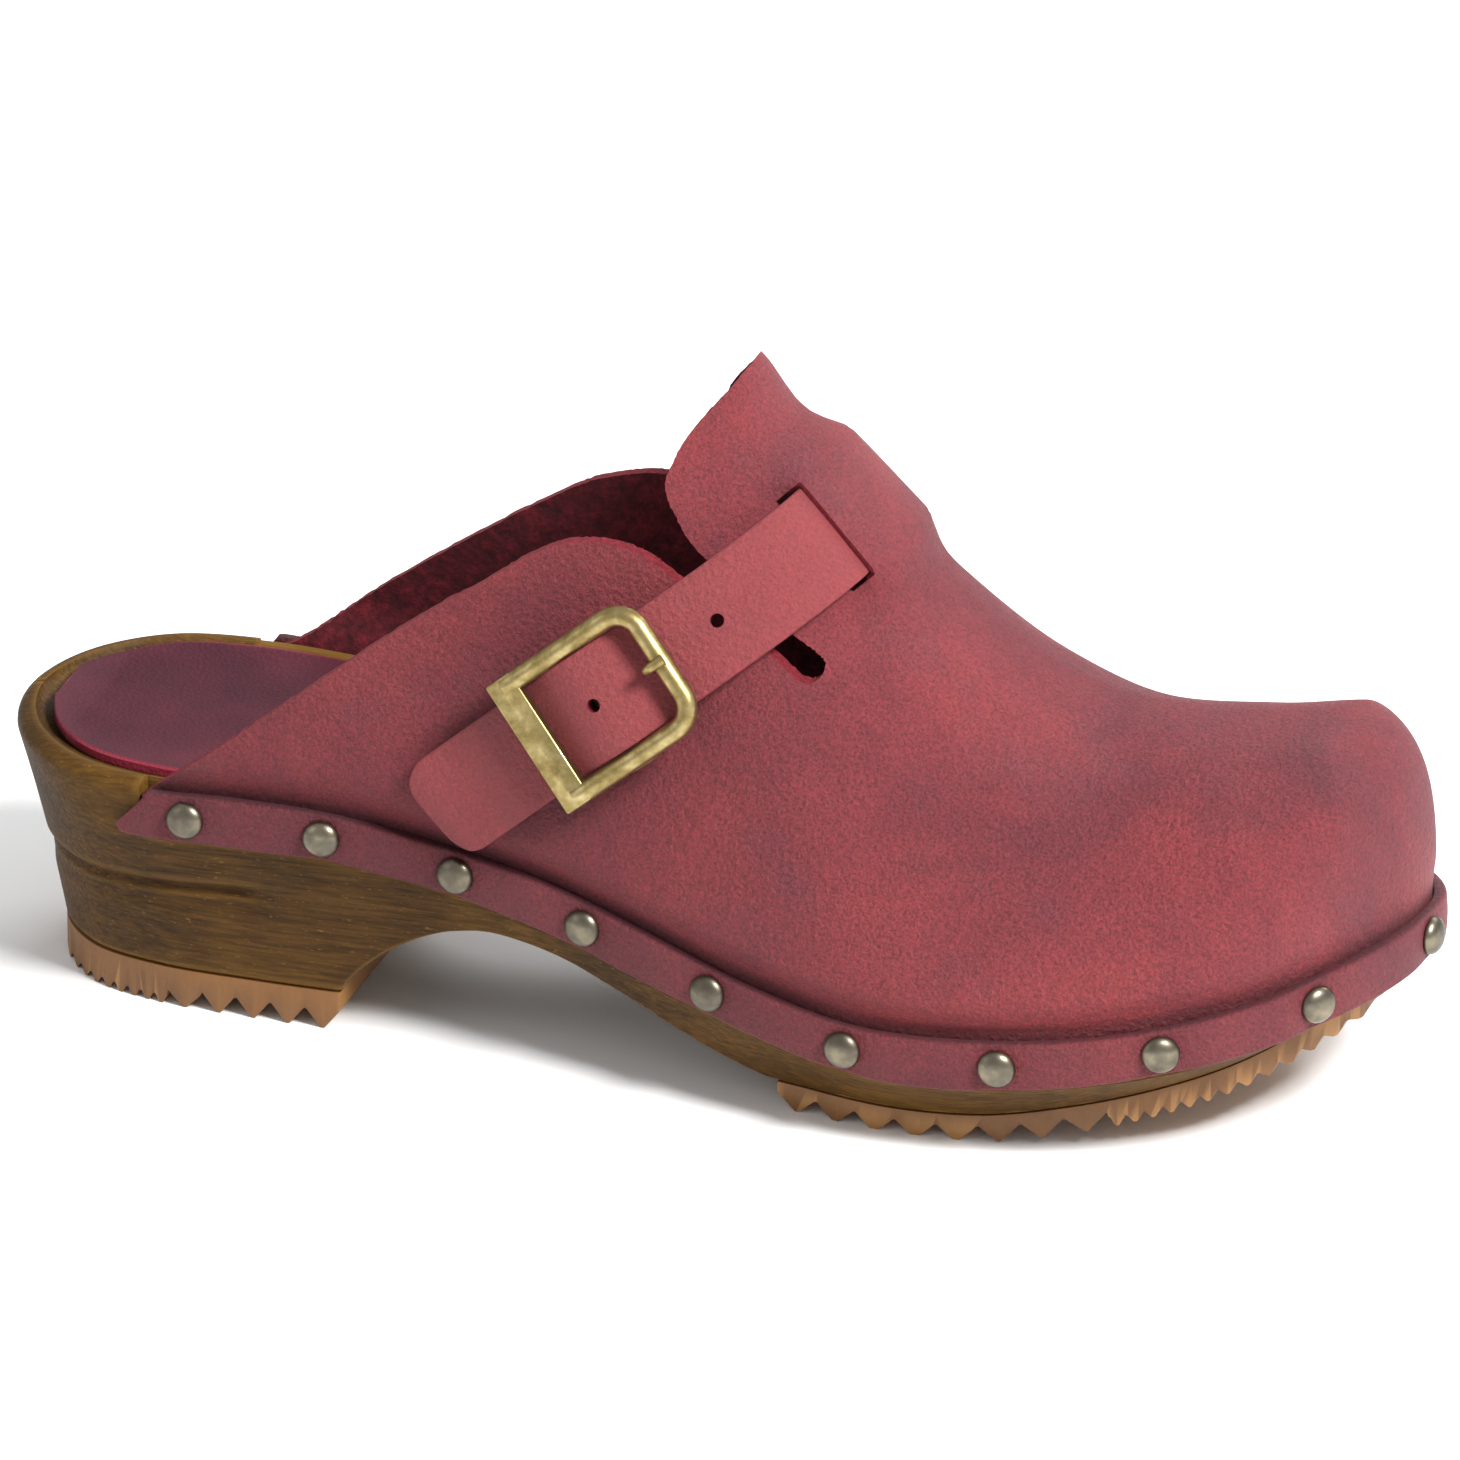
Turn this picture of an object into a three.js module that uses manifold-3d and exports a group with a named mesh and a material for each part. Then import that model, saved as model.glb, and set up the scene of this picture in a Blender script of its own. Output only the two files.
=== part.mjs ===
// A woman's right-foot wooden clog: a carved wooden sole with rubber treads, a one-piece leather
// upper nailed round its edge under a studded leather band, and a strap closed by a buckle.
// Millimetres. +X points to the toe, +Y to the medial side, +Z up. The ground is z = 0.
import * as THREE from "three";
import { mergeVertices } from "three/addons/utils/BufferGeometryUtils.js";
import Module from "manifold-3d";

const wasm = await Module();
wasm.setup();

// Driving dimensions
const soleLength = 258;
const soleWidth = 92;
const upperHeight = 82; // from the rim of the sole up to the tip of the flap
const heelLift = 45; // height of the rim above the ground at the back of the heel
const treadThickness = 5;
const heelTreadThickness = 7.2;
const toothPitch = 6;
const toothDepth = 2.6;
const toothFlat = 0.8; // the worn flat on the crest of each tooth
const leatherThickness = 2.4;
const bandHeight = 9.5;
const bandThickness = 2;
const insoleThickness = 2;
const insoleInset = 6.5; // from the rim of the sole to the edge of the insole sock
const bedDepth = 3.5; // hollow of the foot bed below the rim
const studDiameter = 7;
const studHeight = 1.9;
const studPitch = 27.4;
const studCrowding = 0.012; // the studs stand closer together towards the heel
const shankDiameter = 1.6;
const shankLength = 9;
const strapWidth = 19;
const strapThickness = 2.4;
const strapHoleDiameter = 2.6;
const strapHolePitch = 12;
const strapCorner = 5; // radius of the corners of the strap's tail
const rodDiameter = 3.2;
const plateWidth = 5.5; // the flat rear bar of the buckle
const plateThickness = 2.2;
const buckleLength = 31.5;
const pinDiameter = 2.2;
const prongDiameter = 1.5;
const chapeThickness = 1.1;
const chapeWidth = 12;
const rivetDiameter = 5;
const gap = 0.3; // between pieces that touch
const bore = 0.25; // round a pin or a shank in its hole
const roundSides = 8; // of the rods, pins and holes

// The last that the sole and the upper are shaped on, and the grading from it to this size
const lastLength = 258;
const lastWidth = 92;
const lastUpperHeight = 82;
const lastHeelLift = 45;
const lengthways = soleLength / lastLength;
const crossways = soleWidth / lastWidth;
const upwards = upperHeight / lastUpperHeight;
const heelwards = heelLift / lastHeelLift;

// Rim of the sole, x, y, z: from the back of the heel round the lateral side to the toe tip,
// and back to the heel round the medial side
const lateralRim = [
  [-130, 0, 46.4], [-125.3, -16.8, 45.9], [-112.8, -28.8, 45.1], [-96, -33, 44.6],
  [-78, -33.2, 44.9], [-60, -32.3, 44], [-40, -31.8, 40.8], [-20, -34, 37],
  [0, -38, 31.8], [20, -42.5, 26.8], [42, -46, 23.4], [66, -45.5, 24.2],
  [88, -41, 27.2], [106, -32, 31], [118.5, -18.5, 34.4], [125.8, -5, 36.4],
  [128, 7, 37],
];
const medialRim = [
  [125.7, 16, 36.4], [119, 25, 34.6], [108, 33, 31.6], [93, 41, 28],
  [74, 45.7, 25], [52, 46, 23.5], [30, 42, 25], [8, 35.5, 29.8],
  [-14, 30.7, 35.5], [-36, 29.2, 40.5], [-58, 30.7, 44.6], [-78, 32.6, 45.6],
  [-96, 33.2, 45.9], [-112.8, 29, 46.4], [-125.3, 17, 46.5],
];
const toeStation = lateralRim.length - 1; // stations 0 at the heel back to 16 at the toe tip
const rimStations = 2 * toeStation;
const upperStart = 3; // the station where the upper and its band begin
const poleStation = 14; // from here on, the upper's ribs meet in one point over the toes

// Crest line of the upper above stations 3 to 14, x, y, z, and the squareness of the rib there
const crest = [
  [-92, 0, 118, 2.3], [-74, 0, 124, 2.3], [-57, 0, 129, 2.3], [-39, 1, 132, 2.2],
  [-20, 2, 131, 1.9], [-3, 3, 128, 1.6], [13, 3, 114.5, 1.5], [31, 3, 95.5, 1.42],
  [50, 3, 78.5, 1.45], [70, 3, 68.5, 1.7], [90, 4, 67.5, 2.5], [107, 6, 70, 3.6],
];
const creaseBulge = 3; // how far the leather swells out over the band
const toeBulge = 0.6; // the same at the toe tip

// Topline of the lateral quarter, the slit in front of it and the flap, x, z
const lateralTopline = [
  [-97, 42], [-84, 52.4], [-77, 58], [-66.5, 66.2], [-53, 76.5], [-43.5, 83.4], [-36, 88.2],
  [-28, 93.8], [-22, 96.8], [-16, 97.9], [-10, 97.3], [-5.3, 95.6], [-1, 93], [15.5, 83],
  [23, 77.6], [26, 78], [26.6, 80.2], [24.8, 82], [19.8, 85.4], [3.6, 96.8], [-2, 103],
  [-4.4, 107.5], [-3.6, 111.6], [-2, 115.2], [1, 119], [3.4, 121.8], [7, 127],
];
const medialTopline = [
  [-97, 42.5], [-90, 46.2], [-83, 51.2], [-75.5, 57.4], [-63, 67], [-50.6, 76.1],
  [-38.6, 84.2], [-31, 88.5], [-23, 91.1], [-15, 92.5], [-9, 95], [-5, 100], [-4.4, 107.5],
  [-3.6, 111.6], [-2, 115.2], [1, 119], [3.4, 121.8], [7, 127],
];

// Underside of the sole: the arch between the heel and the forepart, and the rise of the toe
const archProfile = [
  [-61, 7.4], [-59, 10.5], [-56, 13.6], [-51, 17.6], [-45, 20.9], [-39, 23], [-31, 24],
  [-19, 22], [-8, 17.6], [3, 12.4], [12, 8.4], [21, 5],
];
const toeSpring = [
  [20, 0], [60, 0], [75, 2.6], [90, 6.2], [105, 11], [116, 15.7], [129, 22],
];
const undersideInset = [8.7, 8, 6.5, 5, 4, 3, 3, 4, 6, 7, 7, 8, 8.5, 8, 7.5, 7, 7];

// ---- Small tools ---------------------------------------------------------------------------

const vector = (x, y, z) => new THREE.Vector3(x, y, z);

// A smooth function through rows of [position, value]
function smoothThrough(rows) {
  const at = rows.map((row) => row[0]);
  const values = rows.map((row) => row[1]);
  const curve = new THREE.CubicInterpolant(at, values, 1, [0]);
  return (x) => curve.evaluate(Math.min(Math.max(x, at[0]), at[at.length - 1]))[0];
}

const smoothstep = (x, low, high) => THREE.MathUtils.smoothstep(x, low, high);

function merged(geometry) {
  const bare = geometry.clone();
  bare.deleteAttribute("normal");
  bare.deleteAttribute("uv");
  return mergeVertices(bare, 1e-4);
}

function solid(geometry) {
  const clean = merged(geometry);
  return new wasm.Manifold(
    new wasm.Mesh({
      numProp: 3,
      vertProperties: clean.attributes.position.array,
      triVerts: new Uint32Array(clean.index.array),
    }),
  );
}

function geometryOf(manifold) {
  const mesh = manifold.getMesh();
  const geometry = new THREE.BufferGeometry();
  geometry.setAttribute("position", new THREE.BufferAttribute(mesh.vertProperties, 3));
  geometry.setIndex(new THREE.BufferAttribute(mesh.triVerts, 1));
  return geometry;
}

// Triangles of a grid of points, rows by columns, with the flat ones left out
function gridTriangles(grid, flip = false) {
  const triangles = [];
  const add = (a, b, c) => {
    const area = vector().crossVectors(b.clone().sub(a), c.clone().sub(a)).length();
    if (area > 1e-7) triangles.push(...(flip ? [a, c, b] : [a, b, c]));
  };
  for (let i = 0; i + 1 < grid.length; i++) {
    for (let j = 0; j + 1 < grid[i].length; j++) {
      add(grid[i][j], grid[i + 1][j], grid[i + 1][j + 1]);
      add(grid[i][j], grid[i + 1][j + 1], grid[i][j + 1]);
    }
  }
  return triangles;
}

function fromTriangles(points) {
  return merged(new THREE.BufferGeometry().setFromPoints(points));
}

// A closed body through equal loops of points; the two end loops are closed by a fan
function loft(loops) {
  const closed = loops.map((loop) => [...loop, loop[0]]);
  const triangles = gridTriangles(closed);
  for (const [loop, last] of [[loops[0], false], [loops[loops.length - 1], true]]) {
    const centre = vector();
    loop.forEach((point) => centre.addScaledVector(point, 1 / loop.length));
    const ring = [...loop, loop[0]];
    triangles.push(...gridTriangles([ring.map(() => centre), ring], last));
  }
  return facingOut(fromTriangles(triangles));
}

function facingOut(geometry) {
  const index = geometry.index.array;
  const position = geometry.attributes.position;
  const [a, b, c] = [vector(), vector(), vector()];
  let volume = 0;
  for (let i = 0; i < index.length; i += 3) {
    a.fromBufferAttribute(position, index[i]);
    b.fromBufferAttribute(position, index[i + 1]);
    c.fromBufferAttribute(position, index[i + 2]);
    volume += a.dot(b.cross(c));
  }
  if (volume < 0) {
    for (let i = 0; i < index.length; i += 3) {
      [index[i + 1], index[i + 2]] = [index[i + 2], index[i + 1]];
    }
  }
  return geometry;
}

// A flat outline in x and z, extruded along y from one side to the other
function sidewaysPrism(outline, fromY, toY) {
  const shape = new THREE.Shape(outline.map(([x, z]) => new THREE.Vector2(x, z)));
  const geometry = new THREE.ExtrudeGeometry(shape, { depth: toY - fromY, bevelEnabled: false });
  geometry.rotateX(Math.PI / 2);
  geometry.translate(0, toY, 0);
  return geometry;
}

// ---- The rim of the sole -------------------------------------------------------------------

const rimCurve = new THREE.CatmullRomCurve3(
  [...lateralRim, ...medialRim].map(([x, y, z]) =>
    vector(x * lengthways, y * crossways, z + (heelLift - lastHeelLift) * smoothstep(-x, -60, 60)),
  ),
  true,
  "catmullrom",
  0.5,
);

const wrap = (station) => (station + rimStations) % rimStations;

// A point beside the rim at a station: inset is measured inwards, drop downwards
function besideRim(station, inset, drop) {
  const t = wrap(station) / rimStations;
  const point = rimCurve.getPoint(t);
  const tangent = rimCurve.getPoint((t + 0.001) % 1).sub(rimCurve.getPoint((t + 0.999) % 1));
  const outward = vector(tangent.y, -tangent.x, 0).normalize();
  return point.addScaledVector(outward, -inset).add(vector(0, 0, -drop));
}

function outwardAt(station) {
  return besideRim(station, -1, 0).sub(besideRim(station, 0, 0));
}

const insetBelow = smoothThrough(undersideInset.map((inset, station) => [station, inset]));
const springAt = smoothThrough(toeSpring.map(([x, z]) => [x * lengthways, z]));
const rabbetDepth = leatherThickness + 3 * gap;
const undersideHeight = (x) => (x < 0 ? heelTreadThickness + gap : treadThickness + gap + springAt(x));

// ---- Wooden sole ---------------------------------------------------------------------------

const bedAcross = [0, 0.1, 0.22, 0.36, 0.5, 0.64, 0.78, 0.9, 1];
const bedSink = (share) => bedDepth * (1 - (2 * share - 1) ** 4);

// The side of the sole from the edge of the bed down to the underside, at one station
function soleSide(station, rabbeted) {
  const lateralStation = station <= toeStation ? station : rimStations - station;
  const foot = besideRim(station, insetBelow(lateralStation), 0);
  foot.z = undersideHeight(foot.x);
  const shoulderDrop = bandHeight + gap;
  const upper = rabbeted
    ? [besideRim(station, rabbetDepth, 0), besideRim(station, rabbetDepth, shoulderDrop)]
    : [besideRim(station, 2.5, 0), besideRim(station, 0.8, 0.8)];
  const shoulder = besideRim(station, 0, rabbeted ? shoulderDrop : 2.6);
  return [...upper, shoulder, shoulder.clone().lerp(foot, 0.5), foot];
}

function soleSection(station, rabbeted) {
  const lateral = soleSide(station, rabbeted);
  const medial = soleSide(rimStations - station, rabbeted);
  const bed = bedAcross.slice(1, -1).map((share) => {
    const point = medial[0].clone().lerp(lateral[0], share);
    point.z -= bedSink(share) * Math.min(1, medial[0].distanceTo(lateral[0]) / 40);
    return point;
  });
  return [...lateral, ...medial.reverse(), ...bed];
}

function woodenSole() {
  const sections = [];
  for (let station = 0; station <= toeStation; station += 0.5) {
    if (station === upperStart) {
      sections.push(soleSection(station - 0.1, false));
      sections.push(soleSection(station - 0.06, true));
    }
    sections.push(soleSection(station, station >= upperStart));
  }
  const arch = new THREE.SplineCurve(
    archProfile.map(([x, z]) => new THREE.Vector2(x * lengthways, 7.4 + (z - 7.4) * heelwards)),
  );
  const [first, last] = [arch.getPoint(0), arch.getPoint(1)];
  const outline = arch.getPoints(22).map(({ x, y }) => [x, y]);
  outline.push([last.x, -1], [first.x, -1]);
  return solid(loft(sections)).subtract(solid(sidewaysPrism(outline, -soleWidth, soleWidth)));
}

// ---- Treads --------------------------------------------------------------------------------

// A prism of the sole's underside outline
function undersidePrism(inset) {
  const outline = [];
  for (let station = 0; station < rimStations; station += 0.5) {
    const lateralStation = station <= toeStation ? station : rimStations - station;
    const point = besideRim(station, insetBelow(lateralStation) + inset, 0);
    outline.push(new THREE.Vector2(point.x, point.y));
  }
  const shape = new THREE.Shape(outline);
  return solid(new THREE.ExtrudeGeometry(shape, { depth: heelLift, bevelEnabled: false }));
}

// A toothed rubber slab between two x, its top parallel to its crests
function tread(fromX, toX, thickness, rise) {
  const teeth = Math.round((toX - fromX) / toothPitch);
  const pitch = (toX - fromX) / teeth;
  const bottom = [];
  for (let tooth = 0; tooth < teeth; tooth++) {
    const x = fromX + tooth * pitch;
    const flat = toothFlat / 2;
    const crestX = x + pitch / 2;
    bottom.push([x, rise(x) + toothDepth]);
    bottom.push([crestX - flat, rise(crestX)], [crestX + flat, rise(crestX)]);
  }
  bottom.push([toX, rise(toX) + toothDepth]);
  const top = bottom.filter((_, i) => i % 3 === 0).map(([x]) => [x, rise(x) + thickness]);
  const slab = sidewaysPrism([...bottom, ...top.reverse()], -soleWidth, soleWidth);
  return solid(slab).intersect(undersidePrism(0));
}

const heelFront = archProfile[0][0] * lengthways - gap;
const heelBack = -soleLength / 2;
const forepartBack = 22 * lengthways;
const forepartFront = soleLength / 2;

// ---- Insole sock ---------------------------------------------------------------------------

function insoleSock(sole) {
  const sections = [];
  for (let station = 0.5; station < toeStation; station += 0.5) {
    const lateral = besideRim(station, insoleInset, 0);
    const medial = besideRim(rimStations - station, insoleInset, 0);
    const edges = soleSection(station, station >= upperStart);
    const width = edges[0].distanceTo(edges[9]);
    const bed = bedAcross.map((share) => {
      const point = medial.clone().lerp(lateral, share);
      const place = (insoleInset - rabbetDepth / 2) / width;
      point.z -= bedSink(place + share * (1 - 2 * place)) * Math.min(1, width / 40);
      return point;
    });
    const above = bed.map((point) => point.clone().add(vector(0, 0, gap + insoleThickness)));
    const below = bed.map((point) => point.clone().add(vector(0, 0, -1)));
    sections.push([...below, ...above.reverse()]);
  }
  const raisedSole = geometryOf(sole).translate(0, 0, gap);
  return solid(loft(sections)).subtract(solid(raisedSole));
}

// ---- Upper ---------------------------------------------------------------------------------

const crestCurve = new THREE.CatmullRomCurve3(
  crest.map(([x, y, z]) => vector(x * lengthways, y * crossways, z)),
  false,
  "catmullrom",
  0.5,
);
const squareness = smoothThrough(crest.map((row, i) => [i + upperStart, row[3]]));

function crestPoint(station) {
  const t = (Math.min(station, poleStation) - upperStart) / (poleStation - upperStart);
  return crestCurve.getPoint(t);
}

// The strap lies in a plane square to the crest of the instep
const strapTilt = 0.675; // radians from the ground to the strap's run, seen from the side
const buckleX = -9.8 * lengthways;
const buckleRise = 72.4 - lastHeelLift;
const bumpHeight = 3.4; // the upper's swelling over the strap that runs under the crest
const slotFromPin = 47; // along the strap from the buckle's pin to the slot in the upper

const buckleZ = heelLift + buckleRise * upwards;
const strapRun = vector(Math.cos(strapTilt), 0, Math.sin(strapTilt));

function offStrapPlane(point) {
  return (point.x - buckleX) * strapRun.z - (point.z - buckleZ) * strapRun.x;
}

// A point on the outside of the upper: rise 0 is on the rim and 1 on the crest
function upperPoint(station, rise) {
  const lateralStation = station <= toeStation ? station : rimStations - station;
  const base = besideRim(station, gap, 0);
  const top = crestPoint(lateralStation);
  top.z = base.z + (top.z - base.z) * upwards;
  const power = squareness(Math.min(lateralStation, poleStation));
  const angle = (rise * Math.PI) / 2;
  const wide = Math.cos(angle) ** (2 / power);
  const high = Math.sin(angle) ** (2 / power);
  const point = vector(
    top.x + (base.x - top.x) * wide,
    top.y + (base.y - top.y) * wide,
    base.z + (top.z - base.z) * high,
  );
  const low = high * (top.z - base.z);
  const most = creaseBulge + (toeBulge - creaseBulge) * smoothstep(lateralStation, 12.5, 15);
  const swell = most * smoothstep(low, 0, 7) * (1 - smoothstep(low, 7, 38));
  return point.addScaledVector(outwardAt(station), swell);
}

const risesUp = [0.04, 0.1, 0.18, 0.27, 0.36, 0.46, 0.56, 0.66, 0.76, 0.86, 0.94, 1];

function thicken(grid, thickness) {
  const key = (point) => point.toArray().map((value) => Math.round(value * 500)).join();
  const normals = new Map();
  const triangles = gridTriangles(grid);
  for (let i = 0; i < triangles.length; i += 3) {
    const [a, b, c] = triangles.slice(i, i + 3);
    const normal = vector().crossVectors(b.clone().sub(a), c.clone().sub(a));
    for (const point of [a, b, c]) {
      if (!normals.has(key(point))) normals.set(key(point), vector());
      normals.get(key(point)).add(normal);
    }
  }
  const inward = new Map();
  for (const point of triangles) {
    const normal = normals.get(key(point)).clone().normalize();
    if (!inward.has(key(point))) {
      inward.set(key(point), point.clone().addScaledVector(normal, -thickness));
    }
  }
  const within = grid.map((row) => row.map((point) => inward.get(key(point))));
  const last = grid.length - 1;
  const end = grid[0].length - 1;
  const column = (of, j) => of.map((row) => row[j]);
  return facingOut(
    fromTriangles([
      ...gridTriangles(grid),
      ...gridTriangles(within, true),
      ...gridTriangles([within[0], grid[0]]),
      ...gridTriangles([grid[last], within[last]]),
      ...gridTriangles([column(grid, 0), column(within, 0)]),
      ...gridTriangles([column(within, end), column(grid, end)]),
    ]),
  );
}

function upperShell() {
  const grid = [];
  const lastStation = rimStations - upperStart;
  for (let station = upperStart; station <= lastStation; station += 0.5) {
    const margin = [besideRim(station, gap, bandHeight - 0.5), besideRim(station, gap, 0)];
    grid.push([...margin, ...risesUp.map((rise) => upperPoint(station, rise))]);
  }
  return solid(thicken(grid, leatherThickness));
}

const toplineHeight = (z) => heelLift + (z - lastHeelLift) * upwards;

function toplineCutter(topline, fromY, toY) {
  const curve = new THREE.SplineCurve(
    topline.map(([x, z]) => new THREE.Vector2(x * lengthways, toplineHeight(z))),
  );
  const outline = curve.getPoints(3 * (topline.length - 1)).map(({ x, y }) => [x, y]);
  const roof = heelLift + 2 * upperHeight;
  const tip = outline[outline.length - 1];
  outline.push([tip[0], roof], [-soleLength, roof], [-soleLength, outline[0][1]]);
  return solid(sidewaysPrism(outline, fromY, toY));
}

// The outward direction of the upper
function upperNormal(station, rise) {
  const step = 0.05;
  const alongRim = upperPoint(station + step, rise).sub(upperPoint(station - step, rise));
  const upRib = upperPoint(station, Math.min(rise + 0.005, 1));
  upRib.sub(upperPoint(station, Math.max(rise - 0.005, 0)));
  return vector().crossVectors(alongRim, upRib).normalize();
}

// Where the outside of the upper is met at an x and a height on one side
function onUpper(lateral, x, z) {
  const at = (station) => (lateral ? station : rimStations - station);
  const meet = (station) => {
    const base = besideRim(at(station), gap, 0);
    const top = crestPoint(station);
    top.z = base.z + (top.z - base.z) * upwards;
    const high = THREE.MathUtils.clamp((z - base.z) / (top.z - base.z), 0, 1);
    const rise = (2 / Math.PI) * Math.asin(high ** (squareness(station) / 2));
    return { rise, point: upperPoint(at(station), rise) };
  };
  let [low, high] = [upperStart, poleStation];
  for (let i = 0; i < 40; i++) {
    const middle = (low + high) / 2;
    if (meet(middle).point.x < x) low = middle;
    else high = middle;
  }
  const { rise, point } = meet(low);
  return { point, normal: upperNormal(at(low), rise) };
}

// ---- Edge band and its studs ---------------------------------------------------------------

const bandStart = upperStart + 0.05;
const bandEnd = rimStations - bandStart;
const bandTop = 0.6; // the band's top edge below the rim

function edgeBand() {
  const sections = [];
  const steps = 2 * Math.round(bandEnd - bandStart);
  for (let i = 0; i <= steps; i++) {
    const station = bandStart + ((bandEnd - bandStart) * i) / steps;
    sections.push([
      besideRim(station, 0, bandTop),
      besideRim(station, -bandThickness, bandTop),
      besideRim(station, -bandThickness, bandHeight),
      besideRim(station, 0, bandHeight),
    ]);
  }
  return solid(loft(sections));
}

// A body turned on its axis, from its base at the origin out along +Y
function turned(profile, segments) {
  return new THREE.LatheGeometry(
    profile.map(([radius, height]) => new THREE.Vector2(radius, height)),
    segments,
  );
}

// A round nail: a domed head over a shank that runs back from it
function nailProfile(headDiameter, headHeight, shank, length) {
  const rings = 2;
  const dome = [];
  for (let i = 0; i <= rings; i++) {
    const angle = (i / rings) * (Math.PI / 2);
    dome.push([(headDiameter / 2) * Math.cos(angle), headHeight * Math.sin(angle)]);
  }
  dome[rings][0] = 0;
  return [[0, -length], [shank / 2, -length + shank / 2], [shank / 2, 0], ...dome];
}

function pointingAlong(object, at, direction) {
  object.position.copy(at);
  object.quaternion.setFromUnitVectors(vector(0, 1, 0), direction.clone().normalize());
  object.updateMatrixWorld(true);
  return object;
}

// Stations evenly spaced along the band
function studStations() {
  const steps = 400;
  const lengths = [0];
  const station = (i) => bandStart + ((bandEnd - bandStart) * i) / steps;
  for (let i = 1; i <= steps; i++) {
    const step = besideRim(station(i), 0, 0).distanceTo(besideRim(station(i - 1), 0, 0));
    lengths.push(lengths[i - 1] + step);
  }
  const margin = studDiameter + 1;
  const run = lengths[steps] - 2 * margin;
  const count = Math.round(run / studPitch) + 1;
  const found = [];
  for (let stud = 0; stud < count; stud++) {
    const share = stud / (count - 1);
    const want = margin + run * (share - studCrowding * Math.sin(2 * Math.PI * share));
    found.push(station(lengths.findIndex((length) => length >= want)));
  }
  return found;
}

function studSeat(station) {
  const at = besideRim(station, -bandThickness - gap, (bandTop + bandHeight) / 2);
  return { at, direction: outwardAt(station) };
}

// The hole that a shank needs, as a cylinder through the pieces that it holds
function shankHole({ at, direction }, shank, from, to) {
  const cylinder = new THREE.CylinderGeometry(shank / 2 + bore, shank / 2 + bore, to - from, 6);
  cylinder.translate(0, (from + to) / 2, 0);
  const mesh = pointingAlong(new THREE.Object3D(), at, direction);
  return solid(cylinder.applyMatrix4(mesh.matrixWorld));
}

// ---- Strap ---------------------------------------------------------------------------------

const pinHeight = 4; // the buckle's pin above the upper
const overUpper = gap + strapThickness / 2;
const pinLoop = pinDiameter / 2 + bore + chapeThickness; // outside of the chape round the pin
const frameHeight = 7.7; // middle of the buckle's frame above the upper

const tailFromPin = 40; // from the pin back to the strap's free end
const anchorFromSlot = 32; // from the medial slot down to the strap's riveted end
const slotLength = 5; // along the strap, where it dives under the swelling
const hiddenLift = bumpHeight - leatherThickness - gap - strapThickness / 2;

// The line in which the strap's plane crosses the upper: up the lateral side and down the medial
function surfaceLine() {
  const crossing = (station, low, high) => {
    for (let i = 0; i < 40; i++) {
      const middle = (low + high) / 2;
      if (station(middle) > 0) low = middle;
      else high = middle;
    }
    return low;
  };
  const crestStation = crossing((k) => -offStrapPlane(upperPoint(k, 1)), upperStart, poleStation);
  const lowest = 5.7;
  const steps = 24;
  const side = (lateral) => {
    const found = [];
    for (let i = 1; i <= steps; i++) {
      const lateralStation = crestStation - (crestStation - lowest) * (i / steps) ** 2;
      const station = lateral ? lateralStation : rimStations - lateralStation;
      const rise = crossing((r) => offStrapPlane(upperPoint(station, r)), 0, 1);
      found.push({ point: upperPoint(station, rise), normal: upperNormal(station, rise) });
    }
    return found;
  };
  const crestTop = { point: upperPoint(crestStation, 1), normal: strapRun.clone() };
  const stops = [...side(true).reverse(), crestTop, ...side(false)];
  const curve = new THREE.CatmullRomCurve3(stops.map(({ point }) => point));
  curve.arcLengthDivisions = 600;
  const shareOf = (matches) => {
    let share = 0;
    while (share < 1 && !matches(curve.getPointAt(share))) share += 0.001;
    return share;
  };
  const length = curve.getLength();
  const pinAt = length * shareOf((point) => point.z >= buckleZ);
  const crestAt = length * shareOf((point) => point.y >= crestTop.point.y);
  return { stops, curve, length, pinAt, crestFromPin: crestAt - pinAt };
}

const line = surfaceLine();

// The outside of the upper at a distance along that line from the pin
function onLine(distance) {
  const share = THREE.MathUtils.clamp((line.pinAt + distance) / line.length, 0, 1);
  const t = line.curve.getUtoTmapping(share);
  const place = t * (line.stops.length - 1);
  const before = Math.min(Math.floor(place), line.stops.length - 2);
  const normal = line.stops[before].normal.clone();
  normal.lerp(line.stops[before + 1].normal, place - before).normalize();
  return { point: line.curve.getPoint(t), normal };
}

const medialSlot = 2 * line.crestFromPin - slotFromPin;
const anchorEnd = medialSlot + anchorFromSlot;
const strapLift = smoothThrough([
  [-tailFromPin, overUpper + 0.9], [-30, overUpper + 1.1], [-22, overUpper + 2], [-15, 4.35],
  [-9.5, 5], [-5, 7.1], [0, pinHeight + pinLoop + overUpper], [5, 6.9], [10.7, 4.1], [15, 3.6], [21, 2.9],
  [28, 2.4], [slotFromPin - 8, 2.1], [slotFromPin, 1.6],
  [slotFromPin + slotLength, hiddenLift], [medialSlot - slotLength, hiddenLift],
  [medialSlot, 1.6], [medialSlot + 6, 2.1], [anchorEnd, 2.1],
]);

// The strap's place, run, width and outward directions at a distance from the pin
function strapFrame(distance) {
  const at = (where) => {
    const { point, normal } = onLine(where);
    return point.addScaledVector(normal, strapLift(where));
  };
  const along = at(distance + 0.5).sub(at(distance - 0.5)).normalize();
  const across = vector().crossVectors(along, onLine(distance).normal).normalize();
  return { at: at(distance), along, across, normal: across.clone().cross(along) };
}

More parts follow.
